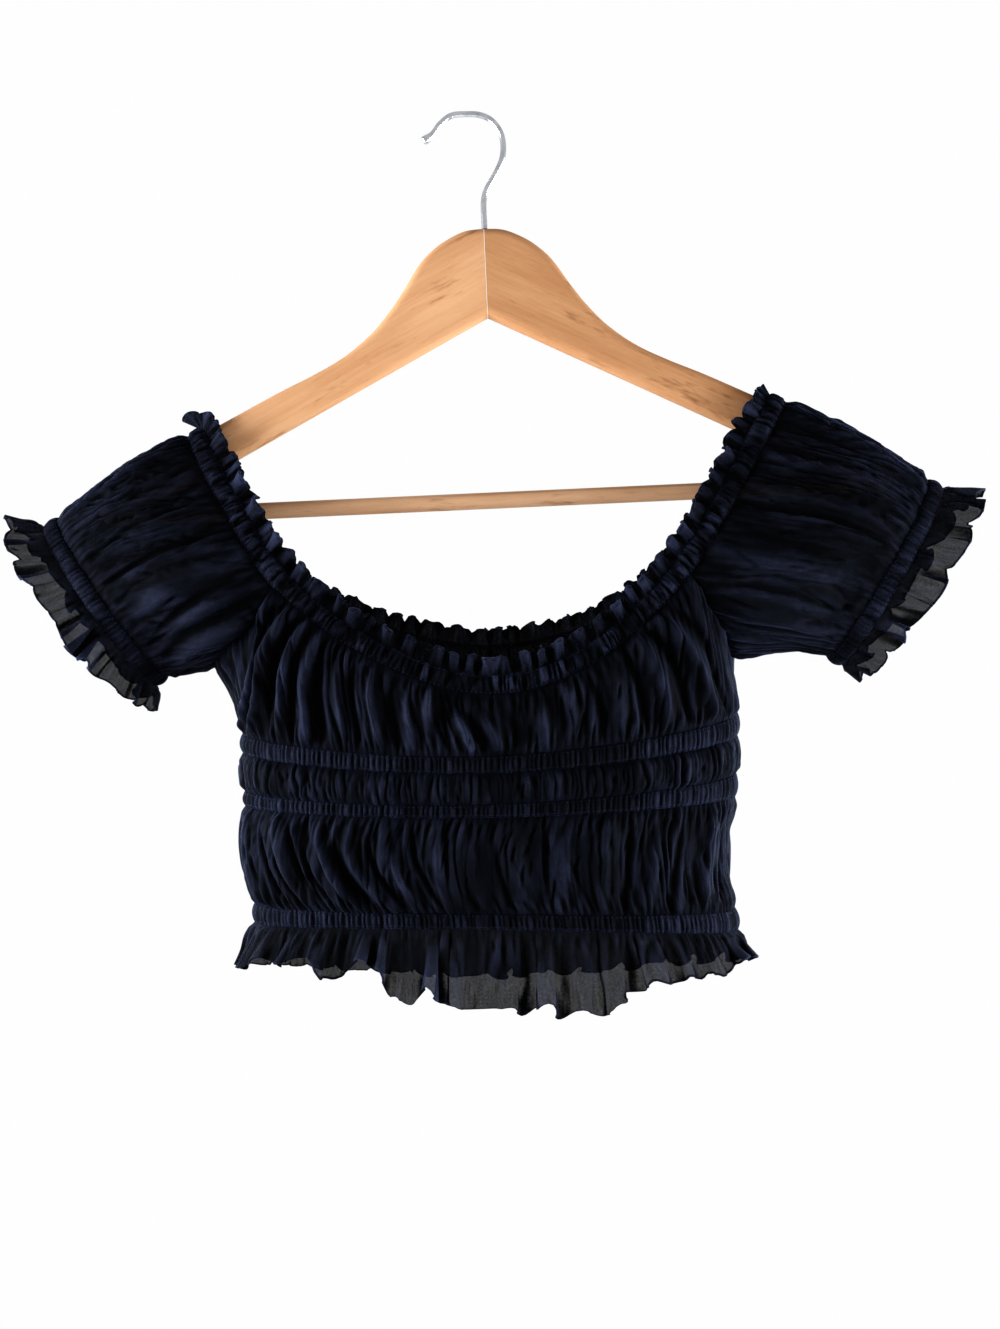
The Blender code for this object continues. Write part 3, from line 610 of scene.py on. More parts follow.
def show_piece(mesh, node, material, sharp=None):
    """Put a finished mesh in the scene in place of its solid, with edges above an angle left sharp."""
    mesh.shade_smooth()
    if sharp:
        mesh.set_sharp_from_angle(angle=math.radians(sharp))
    mesh.materials.append(material)
    piece = add_object(mesh.name, mesh)
    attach(piece, "root")
    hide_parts(node)
    return piece


def store(mesh, name, values):
    """Keep a number or a vector for each point of a mesh, for its material to read."""
    kind, field = ("FLOAT_VECTOR", "vector") if values.shape[-1] == 3 else ("FLOAT", "value")
    attribute = mesh.attributes.new(name, kind, "POINT")
    attribute.data.foreach_set(field, values.reshape(-1).astype(np.float32))


def show_cloth(node, cloth, material, rolled=None):
    """Make a cloth grid into a thin shell with its weave directions and any rolled hem."""
    points = cloth.folded()
    rows, columns = points.shape[:2]
    index = np.arange(rows * columns).reshape(rows, columns)
    if cloth.closed:
        index = np.hstack([index, index[:, :1]])
    corners = [index[:-1, :-1], index[:-1, 1:], index[1:, 1:], index[1:, :-1]]
    faces = np.stack(corners, axis=-1).reshape(-1, 4)
    points = points.reshape(-1, 3)
    corner = points[faces]
    face_way = np.cross(corner[:, 2] - corner[:, 0], corner[:, 3] - corner[:, 1])
    if np.sum(face_way * cloth.normals().reshape(-1, 3)[faces[:, 0]]) < 0:
        faces = faces[:, ::-1]
    mesh = bpy.data.meshes.new(f"cloth_{node}")
    mesh.from_pydata((points * MM).tolist(), [], faces.tolist())
    if rolled:
        cloth.edge = 1 - soft_step(cloth.down if rolled == "top" else cloth.from_foot, 0.9, 1.6)
    store(mesh, "weave", np.stack(np.broadcast_arrays(cloth.across, cloth.down, cloth.down[-1]), axis=-1))
    store(mesh, "hem", cloth.edge)
    # Fold crests, for the painted shade in creases and the painted light on crests
    store(mesh, "crest", cloth.crests())
    piece = show_piece(mesh, node, material)
    shell = piece.modifiers.new("Voile shell", "SOLIDIFY")
    shell.offset = -1
    shell.use_rim = True
    shell.thickness = VOILE_WALL * MM
    if rolled:
        group = piece.vertex_groups.new(name="rolled hem")
        for i, weight in enumerate(mix(VOILE_WALL / ROLLED_HEM, 1, cloth.edge).reshape(-1)):
            group.add([i], float(weight), "REPLACE")
        shell.thickness = ROLLED_HEM * MM
        shell.vertex_group = group.name


# Columns along each raglan seam and the neck, and rows, of the yokes; columns and rows of the panels
YOKE_GRID = {"front": (60, 400, 56), "back": (40, 260, 44)}
PANEL_GRID = {
    "midriff front": (480, 15),
    "midriff back": (340, 11),
    "waist front": (560, 38),
    "waist back": (380, 26),
}
BAND_COLUMNS = 960
HEM_COLUMNS = 720
CASING_COLUMNS = 1100
HEADING_COLUMNS = 1200
SLEEVE_NECK_COLUMNS = 112
SLEEVE_RAGLAN_COLUMNS = 64
SLEEVE_ROWS = 60
CUFF_COLUMNS = {"band": 300, "ruffle": 420}

# Small folds of each kind of piece. Pleats: how far apart, how high, how far they wander. Gathers at
# the sewn edges: how far apart, how high, how long. Creases: how many, how long, how deep, how
# slanted. Swells: how far across, how high, how stretched down the cloth.
SMALL_FOLDS = {
    "yoke front": ((8.5, 2.2, 0.6), (3.5, 1.6, 18.0), (110, 22.0, 1.5, 0.25), (34.0, 0.8, 1.6)),
    "yoke back": ((8.5, 4.2, 0.6), (3.5, 1.6, 18.0), (110, 22.0, 1.5, 0.25), (34.0, 0.8, 1.6)),
    "midriff front": ((5.4, 2.6, 0.4), (3.1, 1.0, 6.0), (60, 12.0, 1.4, 0.4), (24.0, 0.6, 1.0)),
    "midriff back": ((5.4, 2.6, 0.4), (3.1, 1.0, 6.0), (60, 12.0, 1.4, 0.4), (24.0, 0.6, 1.0)),
    "waist front": ((8.0, 2.2, 0.6), (3.3, 1.5, 14.0), (150, 18.0, 1.5, 0.35), (30.0, 0.7, 1.4)),
    "waist back": ((8.0, 3.6, 0.6), (3.3, 1.5, 14.0), (150, 18.0, 1.5, 0.35), (30.0, 0.7, 1.4)),
    "hem": ((8.5, 2.8, 0.5), (3.4, 1.7, 14.0), (40, 14.0, 1.4, 0.25), (30.0, 0.0, 1.0)),
    "sleeve": ((12.0, 2.4, 0.6), (3.3, 1.6, 16.0), (110, 20.0, 1.4, 0.45), (30.0, 1.0, 1.8)),
    "cuff ruffle": ((8.0, 2.8, 0.5), (3.2, 1.5, 10.0), (20, 10.0, 1.0, 0.25), (30.0, 0.0, 1.0)),
}

# Where the front lies calmer: places, reaches and shares of the height taken away, across each panel
CALM_PLACES = {
    "yoke": [(0.57, 0.2, 0.5)],
    "midriff": [(0.55, 0.25, 0.35)],
    "waist": [(0.14, 0.09, 0.65), (0.6, 0.2, 0.55)],
}

# Main folds of the front yoke: places at the casing and at the band as shares of the way across,
# where they start and end as shares of the way down, half width, height and how far the crest leans
YOKE_FOLDS = [
    (0.150, 0.030, -0.1, 1.1, 4.0, 3.0, 0.0),
    (0.168, 0.058, -0.1, 1.1, 3.0, -3.6, 0.0),
    (0.183, 0.090, -0.1, 1.1, 4.6, 5.4, -1.5),
    (0.196, 0.122, -0.1, 1.1, 3.0, -4.2, 0.0),
    (0.207, 0.150, -0.1, 1.1, 3.6, 4.4, -1.0),
    (0.217, 0.172, 0.1, 1.1, 1.6, -3.4, 0.0),
    (0.228, 0.195, -0.1, 1.1, 3.4, 4.0, 1.0),
    (0.245, 0.225, 0.0, 1.1, 3.0, -3.6, 0.0),
    (0.275, 0.262, 0.1, 1.1, 2.6, 2.8, 1.0),
    (0.298, 0.288, 0.0, 1.1, 2.0, -2.8, 0.0),
    (0.325, 0.325, 0.1, 1.1, 2.2, 3.0, -1.0),
    (0.355, 0.352, 0.1, 1.1, 3.6, -2.6, 0.0),
    (0.385, 0.372, 0.1, 1.1, 2.4, 3.2, 1.2),
    (0.415, 0.405, -0.1, 0.7, 3.2, 3.6, 1.0),
    (0.452, 0.470, 0.2, 1.1, 3.0, 4.6, 1.5),
    (0.470, 0.490, 0.2, 1.1, 2.2, -3.2, 0.0),
    (0.485, 0.515, 0.2, 1.1, 3.2, 4.2, 1.5),
    (0.530, 0.545, 0.1, 0.9, 4.0, -2.2, 0.0),
    (0.575, 0.590, 0.0, 1.0, 3.0, 2.8, -1.0),
    (0.620, 0.640, -0.1, 0.8, 3.4, 3.0, -1.0),
    (0.660, 0.690, 0.0, 1.1, 2.4, -2.8, 0.0),
    (0.690, 0.720, 0.0, 1.0, 3.8, 3.4, -1.0),
    (0.720, 0.760, -0.1, 1.1, 2.6, -3.2, 0.0),
    (0.745, 0.800, -0.1, 1.1, 4.0, 4.6, 1.2),
    (0.768, 0.840, -0.1, 1.1, 2.6, -3.6, 0.0),
    (0.788, 0.885, -0.1, 1.1, 4.2, 4.8, 1.2),
    (0.810, 0.925, -0.1, 1.1, 3.0, -3.2, 0.0),
]

# Main folds of the front waist panel, in the same columns
WAIST_FOLDS = [
    (0.020, 0.050, -0.1, 1.1, 3.0, -2.6, 0.0),
    (0.055, 0.085, -0.1, 1.1, 5.5, 2.8, 0.0),
    (0.085, 0.145, 0.1, 1.1, 1.4, -2.8, 0.5),
    (0.110, 0.170, 0.25, 1.1, 1.3, -2.6, 0.5),
    (0.125, 0.185, -0.1, 1.1, 5.0, 3.0, 0.0),
    (0.145, 0.215, 0.0, 0.9, 1.3, -2.4, 0.5),
    (0.165, 0.230, 0.2, 1.1, 1.3, -2.6, 0.5),
    (0.185, 0.205, -0.1, 0.6, 3.0, -3.4, 0.0),
    (0.200, 0.275, 0.1, 1.1, 3.2, 3.8, -1.0),
    (0.225, 0.300, 0.1, 1.1, 2.6, -3.4, 0.0),
    (0.245, 0.330, 0.1, 1.1, 3.4, 3.2, -1.0),
    (0.290, 0.350, 0.1, 1.1, 1.8, -2.6, 0.0),
    (0.320, 0.375, 0.1, 1.1, 3.6, 2.6, 0.8),
    (0.370, 0.415, 0.0, 1.1, 1.6, -2.4, 0.0),
    (0.410, 0.440, -0.1, 0.8, 3.4, 2.4, 0.8),
    (0.470, 0.490, 0.1, 1.1, 5.0, 2.2, 0.0),
    (0.520, 0.530, 0.2, 1.1, 1.8, -2.2, 0.0),
    (0.560, 0.560, 0.0, 1.1, 4.0, 2.4, -0.8),
    (0.605, 0.600, 0.0, 0.9, 1.8, -2.4, 0.0),
    (0.640, 0.620, 0.1, 0.9, 4.5, 2.4, -0.8),
    (0.710, 0.690, -0.1, 1.1, 3.6, 2.6, -0.8),
    (0.750, 0.730, 0.0, 1.1, 2.0, -2.6, 0.0),
    (0.800, 0.770, 0.1, 1.1, 4.6, 3.2, 1.0),
    (0.840, 0.815, 0.0, 1.1, 2.2, -2.8, 0.0),
    (0.895, 0.875, -0.1, 1.1, 4.6, 3.4, 1.0),
    (0.940, 0.925, 0.0, 1.1, 2.4, -2.6, 0.0),
]

# Main folds of the sleeves: places at the casing and at the cuff as shares of the way round from the
# shoulder over the front, start and end as shares of the way down, half width, height and lean
SLEEVE_FOLDS = {
    "left": [
        (0.050, 0.070, 0.0, 1.0, 2.4, 1.6, 0.0),
        (0.110, 0.150, -0.1, 0.7, 3.4, 2.2, 0.8),
        (0.150, 0.190, 0.1, 1.1, 1.6, -2.4, 0.0),
        (0.185, 0.215, -0.1, 0.8, 4.0, 2.4, 0.8),
        (0.215, 0.250, 0.0, 1.1, 1.8, -2.8, 0.0),
        (0.262, 0.330, -0.1, 0.95, 6.0, 5.5, 2.0),
        (0.292, 0.385, 0.15, 0.9, 2.2, -3.8, 0.0),
        (0.320, 0.400, 0.1, 0.8, 3.6, 2.6, 1.0),
        (0.345, 0.430, -0.1, 0.9, 5.0, -3.6, 0.0),
        (0.400, 0.460, -0.1, 0.9, 8.0, 4.6, 0.0),
    ],
    "right": [
        (0.045, 0.060, 0.0, 1.0, 2.4, 1.4, 0.0),
        (0.120, 0.140, -0.1, 0.9, 3.0, 2.0, 0.0),
        (0.175, 0.205, -0.1, 1.0, 3.6, 3.4, 1.2),
        (0.205, 0.235, -0.1, 1.0, 2.2, -3.0, 0.0),
        (0.250, 0.310, 0.0, 0.8, 4.0, -2.6, 0.0),
        (0.300, 0.350, -0.1, 0.9, 6.0, 3.4, 0.0),
        (0.345, 0.380, 0.1, 0.9, 2.4, -2.6, 0.0),
        (0.400, 0.420, 0.0, 1.0, 7.0, 3.2, 0.0),
    ],
}

MAIN_FOLDS = {"yoke": YOKE_FOLDS, "midriff": [], "waist": WAIST_FOLDS}

BODY_BAND = {"rows": 9, "puff": 0.8, "gather": 1.3, "swell": (12.0, 0.3)}
CUFF_BAND = {"rows": 8, "puff": 0.9, "gather": 1.2, "swell": (10.0, 0.25)}
BAND_LIFT = 0.2
BAND_PITCH = 2.9
HEM_LOBES = {"front": 0.8, "back": 4.0}


def yoke_edge(half):
    """Upper edge of a yoke from its left underarm over the neck to its right underarm."""
    raglan_columns, neck_columns, _ = YOKE_GRID[half]
    rising = turns_round(raglan_columns)
    falling = 1 - rising[::-1]
    left = raglan_seam("left", half, 1 - rising)
    right = raglan_seam("right", half, falling)
    seams = [NECK.place(f"{half} seam {side}") for side in ("left", "right")]
    top, down, _ = NECK.line(np.linspace(*seams, neck_columns + 1))
    straight = unit(np.array([0.0, FACING[half] * YOKE_FORWARD, -1.0]))
    way = unit(mix(down, straight, YOKE_STRAIGHTENING * np.minimum(np.abs(down[:, :1]) / 0.5, 1.0)))
    left_way = unit(mix(np.array(UNDERARM_WAY["left"]), way[0], rising[:, None]))
    right_way = unit(mix(way[-1], np.array(UNDERARM_WAY["right"]), falling[:, None]))
    return np.vstack([left, top + down * CASING_WIDTH, right]), np.vstack([left_way, way, right_way])


def sew_panel(name, half, grid, puff, material):
    """Fold a panel of the body, sew it to its neighbours and show it."""
    cloth = Cloth(grid, grid.mean(axis=1, keepdims=True) * [1, 0, 1], closed=False)
    cloth.heights += puff * cloth.bow
    if half == "front":
        cloth.main_folds(MAIN_FOLDS[name])
    where = math.prod(cloth.calm(*place) for place in CALM_PLACES[name])
    cloth.small_folds(f"{name} {half}", f"{name} {half}", where)
    cloth.sew_edges()
    cloth.sew_sides(half)
    show_cloth(f"{name}_{half}", cloth, material)


def make_yoke(half, material):
    edge, way = yoke_edge(half)
    places = np.linspace(0, 1, len(edge))
    foot = half_ring("upper band top", half, places)
    grid = loft(edge, way, foot, upright(0.0, -1.0), YOKE_GRID[half][2])
    sew_panel("yoke", half, grid, YOKE_PUFF * np.sin(math.pi * places), material)


def make_panel(name, upper, lower, half, material):
    """Gathered panel that bows out between two bands."""
    columns, rows = PANEL_GRID[f"{name} {half}"]
    places = np.linspace(0, 1, columns + 1)
    top, bow, foot = (half_ring(level, half, places) for level in (upper, f"{name} middle", lower))
    v = rows_down(rows)
    grid = top * (1 - v) * (1 - 2 * v) + bow * 4 * v * (1 - v) + foot * v * (2 * v - 1)
    sew_panel(name, half, grid, 0.0, material)


def make_band(node, seed, edges, sizes, middle, material):
    """Elastic channel, puffed between its two rows of stitching."""
    cloth = Cloth(mix(*edges, rows_down(sizes["rows"])), middle)
    cloth.heights += BAND_LIFT + sizes["puff"] * cloth.bow**0.7
    cloth.puckers(seed, BAND_PITCH, sizes["gather"])
    cloth.swells(seed, *sizes["swell"])
    show_cloth(node, cloth, material)


def make_hem_ruffle(material):
    top = ring("lower band foot", HEM_COLUMNS)
    foot = ring("hem", HEM_COLUMNS)
    front = foot[:, 1] < 0
    foot[front, 2] = eased(foot[front, 0], HEM_FRONT)
    lobes = scallops(turns_round(HEM_COLUMNS), HEM_WAVES, "hem wave") - NOTCH_LEVEL
    foot[:, 2] -= np.where(front, HEM_LOBES["front"], HEM_LOBES["back"]) * lobes
    cloth = Cloth(mix(top, foot, rows_down(26)), BODY_MIDDLE)
    cloth.heights += cloth.share
    cloth.ruffle(HEM_WAVES, HEM_WAVE_HEIGHT, HEM_CURL, "hem wave")
    cloth.small_folds("hem", "hem", mix(0.3, 1.0, cloth.share**0.5), edges=("top",))
    cloth.sew_edges(foot=False)
    show_cloth("hem_ruffle", cloth, material, rolled="foot")


def make_casing(material):
    top, down, _ = NECK.line(turns_round(CASING_COLUMNS))
    cloth = Cloth(top + down * CASING_WIDTH * rows_down(11), BODY_MIDDLE)
    cloth.heights += CASING_PUFF * cloth.bow**0.8 - CASING_INSET
    cloth.pleats("casing", 5.2, 3.2, 1.2)
    cloth.puckers("casing", 3.4, 0.9, edge_share=0.6)
    cloth.swells("casing", 9.0, 0.7, stretch=0.6)
    cloth.creases("casing", 120, 8.0, 1.3, 0.9)
    cloth.hold(cloth.down, CASING_SEAM_REACH)
    cloth.hold(cloth.from_foot, CASING_SEAM_REACH)
    show_cloth("neck_casing", cloth, material)


def make_neck_ruffle(material):
    """Small standing heading above the casing, with an uneven wavy edge."""
    turn = turns_round(HEADING_COLUMNS)
    top, down, outward = NECK.line(turn)
    lean = NECK_RUFFLE_LEAN + HEADING_LEAN_WAVE * uneven_wave(turn, 37, "heading lean")
    lean = (lean + SHOULDER_FLOP * bell(NECK.from_shoulder(top, "left"), SHOULDER_FLOP_REACH))[:, None]
    rise = outward * np.sin(lean) - down * np.cos(lean)
    width = NECK_RUFFLE_WIDTH + HEADING_LOBES * scallops(turn, HEADING_WAVES, "heading wave", HEADING_WANDER)
    width = width + 0.8 * uneven_wave(turn, 60, "heading width")
    width *= 1 - LOW_SHOULDER_SHARE * bell(NECK.from_shoulder(top, "right"), LOW_SHOULDER_REACH)
    root = top + down * HEADING_OVERLAP - outward * TUCK_DEPTH
    grid = root + rise * (width + HEADING_OVERLAP)[:, None] * rows_down(12)[::-1]
    cloth = Cloth(grid, BODY_MIDDLE)
    flare = (1 - cloth.share) ** 1.2
    step = lengths(np.roll(top, -4, axis=0) - np.roll(top, 4, axis=0)) / 8
    depth = np.minimum(step / HEADING_COLUMN, 1.0)
    wave = HEADING_WAVE_HEIGHT * uneven_wave(turn, HEADING_WAVES, "heading wave", HEADING_WANDER)
    wave = wave + uneven_wave(turn, 190, "heading small wave")
    cloth.heights += flare * wave * depth + 0.6 * (1 - flare) * uneven_wave(turn, 240, "heading root")
    curl = np.sin(2 * math.tau * uneven_phase(turn, HEADING_WAVES, "heading wave", HEADING_WANDER))
    cloth.slide += flare * depth * (1.2 * uneven_wave(turn, 60, "heading flops") - HEADING_CURL * curl)
    show_cloth("neck_ruffle", cloth, material, rolled="top")


def cuff_frame(side):
    """Middle of a cuff, its long half from the middle to the top, and the way out of the sleeve."""
    top, foot = (upright(*SLEEVES[side][end]) for end in ("cuff_top", "cuff_foot"))
    long_half = (top - foot) / 2
    along = unit(long_half)
    return (top + foot) / 2, long_half, upright(SIDE_SIGN[side] * abs(along[2]), -abs(along[0]))


def cuff_ring(side, count, shift=0.0):
    """Points round a cuff from its top over the front to its foot and back."""
    middle, long_half, out = cuff_frame(side)
    turn = math.tau * turns_round(count)[:, None]
    depth = np.array([0.0, -SLEEVES[side]["half_depth"], 0.0])
    return middle + long_half * np.cos(turn) + depth * np.sin(turn) + out * shift


def sleeve_top_edge(side):
    """Edge of a sleeve from the shoulder round the front, the underarm and the back."""
    shoulder = NECK.place(f"{side} shoulder")
    underarm = np.array(UNDERARM[side])
    under_way = unit(upright(*SLEEVES[side]["cuff_foot"]) - underarm)
    steps = turns_round(SLEEVE_NECK_COLUMNS)
    raglan = turns_round(SLEEVE_RAGLAN_COLUMNS)
    lift = math.radians(SLEEVES[side]["crown_lift"]) * (1 - steps[:, None]) ** 2
    edges, ways = [], []
    for half in ("front", "back"):
        reach = (NECK.place(f"{half} seam {side}") - shoulder + 0.5) % 1.0 - 0.5
        top, down, outward = NECK.line(shoulder + reach * steps)
        neck_ways = unit(mix(down, under_way, steps[:, None] ** 2 * SLEEVE_TURN))
        neck_ways = neck_ways * np.cos(lift) + outward * np.sin(lift)
        corner = unit(mix(down[-1], under_way, SLEEVE_TURN))
        edges.append(np.vstack([top + down * CASING_WIDTH, raglan_seam(side, half, raglan)]))
        ways.append(np.vstack([neck_ways, unit(mix(corner, under_way, raglan[:, None]))]))
    edge = np.vstack([edges[0], [underarm], edges[1][:0:-1]])
    return edge, np.vstack([ways[0], [under_way], ways[1][:0:-1]])


def make_sleeve(side, material):
    edge, way = sleeve_top_edge(side)
    turn = math.tau * turns_round(len(edge))
    slope = math.radians(SLEEVES[side]["crown_slope"])
    crown = upright(SIDE_SIGN[side] * math.cos(slope), -math.sin(slope))
    arrive = unit(mix(cuff_frame(side)[2], crown, (1 + np.cos(turn[:, None])) / 2))
    grid = loft(edge, way, cuff_ring(side, len(edge)), arrive, SLEEVE_ROWS)
    cloth = Cloth(grid, grid.mean(axis=1, keepdims=True))
    cloth.heights += (SLEEVE_CROWN_PUFF + SLEEVE_SIDE_PUFF * np.abs(np.sin(turn))) * cloth.bow
    cloth.main_folds(SLEEVE_FOLDS[side])
    cloth.main_folds([(1 - top, 1 - foot, *rest, -lean) for top, foot, *rest, lean in SLEEVE_FOLDS[side]])
    upper = soft_step(np.cos(turn), -0.35, 0.35)
    middle = mix(0.35, 1.0, cloth.bow)
    cloth.pleats(f"sleeve crown {side}", 4.4, 2.9, 1.3, upper * middle, 1.6)
    cloth.small_folds("sleeve", f"sleeve {side}", (1 - upper) * middle)
    cloth.sew_edges()
    show_cloth(f"sleeve_{side}", cloth, material)


def make_cuff_ruffle(side, material):
    middle, _, out = cuff_frame(side)
    start = CUFF_BAND_WIDTH + SEAM
    root = cuff_ring(side, CUFF_COLUMNS["ruffle"], start)
    turn = turns_round(CUFF_COLUMNS["ruffle"])
    share = (1 + np.cos(math.tau * turn[:, None])) / 2
    swept = np.sin(math.tau * turn) ** 2
    foot_way, top_way = (upright(*SLEEVES[side][end]) for end in ("ruffle_foot", "ruffle_top"))
    way = unit(mix(foot_way, top_way, share) + CUFF_RUFFLE_FLARE * unit(root - middle - out * start))
    lobes = CUFF_LOBES * (scallops(turn, CUFF_WAVES, f"cuff wave {side}") - NOTCH_LEVEL)
    width = mix(CUFF_RUFFLE_FOOT_WIDTH, CUFF_RUFFLE_TOP_WIDTH, share)
    width = width + (CUFF_RUFFLE_BULGE * swept + lobes)[:, None]
    cloth = Cloth(root + way * width * rows_down(24), middle)
    cloth.ruffle(CUFF_WAVES, CUFF_WAVE_HEIGHT, CUFF_CURL, f"cuff wave {side}", 0.6)
    cloth.slide *= mix(0.3, 1.0, swept)
    where = mix(0.3, 1.0, cloth.share**0.5)
    cloth.small_folds("cuff ruffle", f"cuff ruffle {side}", where, edges=("top",))
    cloth.sew_edges(foot=False)
    show_cloth(f"cuff_ruffle_{side}", cloth, material, rolled="foot")


def hanger_place():
    """Where the level hanger's apex goes, turned by its tilt about the place where it hangs."""
    x, z = HANGER_APEX
    turned_x = x * math.cos(HANGER_TILT) - z * math.sin(HANGER_TILT)
    turned_z = x * math.sin(HANGER_TILT) + z * math.cos(HANGER_TILT)
    return Matrix.Translation((turned_x * MM, 0, turned_z * MM)) @ Matrix.Rotation(-HANGER_TILT, 4, "Y")


def arm_outline():
    """Outline of one arm seen from the front: distance from the middle, height from the apex."""
    last_x, last_drop = ARM_TOP[-1]
    shoulder_x = ARM_END - ARM_END_RADIUS
    upper = (shoulder_x, -last_drop - TOP_SLOPE * (shoulder_x - last_x))
    lower = (shoulder_x, -NOTCH_DEPTH - UNDERSIDE_SLOPE * shoulder_x)
    crown = smooth_route([(x, -drop) for x, drop in ARM_TOP] + [upper], 90)
    middle_z = (upper[1] + lower[1]) / 2
    half_height = (upper[1] - lower[1]) / 2
    turns = np.linspace(math.pi / 2, -math.pi / 2, 18)[1:-1]
    reach = np.cos(turns)
    tip_x = shoulder_x + ARM_END_RADIUS * reach
    tip_z = middle_z + half_height * np.sin(turns) - ARM_END_LEAN * ARM_END_RADIUS * reach
    tip = np.stack([tip_x, tip_z], axis=1)
    notch = (-JOINT_OVERLAP, -NOTCH_DEPTH + UNDERSIDE_SLOPE * JOINT_OVERLAP)
    return np.vstack([crown, tip, [lower, notch, (-JOINT_OVERLAP, 0.0)]])


def cut_flat(mesh, place, normal):
    """Cut a closed mesh by a plane, drop the side the normal points to and close the cut."""
    shape = bmesh.new()
    shape.from_mesh(mesh)
    geometry = shape.verts[:] + shape.edges[:] + shape.faces[:]
    cut = bmesh.ops.bisect_plane(shape, geom=geometry, plane_co=place, plane_no=normal, clear_outer=True)
    edges = [e for e in cut["geom_cut"] if isinstance(e, bmesh.types.BMEdge)]
    bmesh.ops.contextual_create(shape, geom=edges)
    shape.to_mesh(mesh)
    shape.free()


def curve_mesh(name, points, radii=1.0, **settings):
    """Make a mesh from a curve through the points, with its bevel grown by the radii."""
    curve = bpy.data.curves.new(name, "CURVE")
    for setting, value in settings.items():
        setattr(curve, setting, value)
    spline = curve.splines.new("POLY")
    spline.points.add(len(points) - 1)
    spline.use_cyclic_u = curve.dimensions == "2D"
    for point, spot, radius in zip(spline.points, points, np.broadcast_to(radii, len(points))):
        point.co = (*(spot * MM), 1)
        point.radius = radius
    guide = add_object(name, curve)
    join = guide.modifiers.new("Join caps", "WELD")
    join.merge_threshold = CAP_WELD * MM
    bpy.context.view_layer.update()
    mesh = bpy.data.meshes.new_from_object(guide.evaluated_get(bpy.context.evaluated_depsgraph_get()))
    mesh.name = name
    mesh.materials.clear()
    bpy.data.objects.remove(guide, do_unlink=True)
    return mesh


def add_grain(mesh, slope):
    """Store how far each point of a wooden piece is along its grain, across it and deep in it."""
    spots = np.array([point.co for point in mesh.vertices]) / MM
    along = spots[:, 0] * math.cos(slope) + spots[:, 2] * math.sin(slope)
    across = spots[:, 2] * math.cos(slope) - spots[:, 0] * math.sin(slope)
    store(mesh, "grain", np.stack([along, across, spots[:, 1]], axis=1))


def make_arm(side, slot):
    sign = SIDE_SIGN[side]
    node = f"hanger_arm_{side}"
    outline = np.insert(arm_outline() * [sign, 1], 2, 0.0, axis=1)
    mesh = curve_mesh(
        f"wood_{node}",
        outline,
        dimensions="2D",
        fill_mode="BOTH",
        extrude=(ARM_THICKNESS / 2 - ARM_ROUNDING) * MM,
        bevel_depth=ARM_ROUNDING * MM,
        bevel_resolution=5,
        offset=-ARM_ROUNDING * MM,
    )
    cut_flat(mesh, Vector((sign * JOINT_GAP * MM, 0, 0)), Vector((-sign, 0, 0)))
    mesh.transform(Matrix.Rotation(math.radians(90), 4, "X"))
    add_grain(mesh, -sign * math.atan(UNDERSIDE_SLOPE))
    mesh.transform(hanger_place())
    show_piece(mesh, node, wood(slot), sharp=40)


def make_bar():
    shape = bmesh.new()
    sizes = {"radius1": BAR_RADIUS * MM, "radius2": BAR_RADIUS * MM, "depth": 2 * ARM_END * MM}
    bmesh.ops.create_cone(shape, cap_ends=True, segments=40, **sizes)
    bmesh.ops.rotate(shape, verts=shape.verts[:], matrix=Matrix.Rotation(math.radians(90), 3, "Y"))
    bmesh.ops.translate(shape, verts=shape.verts[:], vec=(0, 0, -BAR_DROP * MM))
    mesh = bpy.data.meshes.new("wood_hanger_bar")
    shape.to_mesh(mesh)
    shape.free()
    slope = math.atan(UNDERSIDE_SLOPE)
    under = Vector((0, 0, -(NOTCH_DEPTH + SEAM / math.cos(slope)) * MM))
    for sign in (-1, 1):
        cut_flat(mesh, under, Vector((sign * math.sin(slope), 0, math.cos(slope))))
    add_grain(mesh, 0.0)
    mesh.transform(hanger_place())
    show_piece(mesh, "hanger_bar", wood("bar wood"), sharp=50)


def make_hook():
    """Bent wire whose tip carries a small rounded cap."""
    route = smooth_route(HOOK_ROUTE, 150)
    near = np.clip(1 - np.arange(len(route))[::-1] / WIRE_CAP_POINTS, 0, 1)
    radii = 1 + WIRE_CAP_SWELL * np.sin(math.pi * np.minimum(near * 1.15, 1.0) / 2) ** 2
    radii[-1] = 1.0
    mesh = curve_mesh(
        "wire_hanger_hook",
        np.insert(route, 1, 0.0, axis=1),
        radii,
        dimensions="3D",
        bevel_depth=WIRE_RADIUS * MM,
        bevel_resolution=8,
        use_fill_caps=True,
    )
    show_piece(mesh, "hanger_hook", chrome("chrome"), sharp=60)


def maths(operation, reflected=False):
    """An operator of a tone that adds one Math node, with its sides swapped when it is reflected."""

    def work(self, other=0.0):
        sides = (other, self) if reflected else (self, other)
        return self.look.add("ShaderNodeMath", {"operation": operation}, dict(enumerate(sides)))

    return work


class Tone:
    """A shader value or colour socket; sums on it add the Math nodes that work them out."""

    def __init__(self, look, socket):
        self.look = look
        self.socket = socket

    __add__ = maths("ADD")
    __radd__ = maths("ADD", reflected=True)
    __sub__ = maths("SUBTRACT")
    __rsub__ = maths("SUBTRACT", reflected=True)
    __mul__ = maths("MULTIPLY")
    __rmul__ = maths("MULTIPLY", reflected=True)
    __truediv__ = maths("DIVIDE")
    __rpow__ = maths("POWER", reflected=True)
    sine = maths("SINE")
    most = maths("MAXIMUM")
    least = maths("MINIMUM")


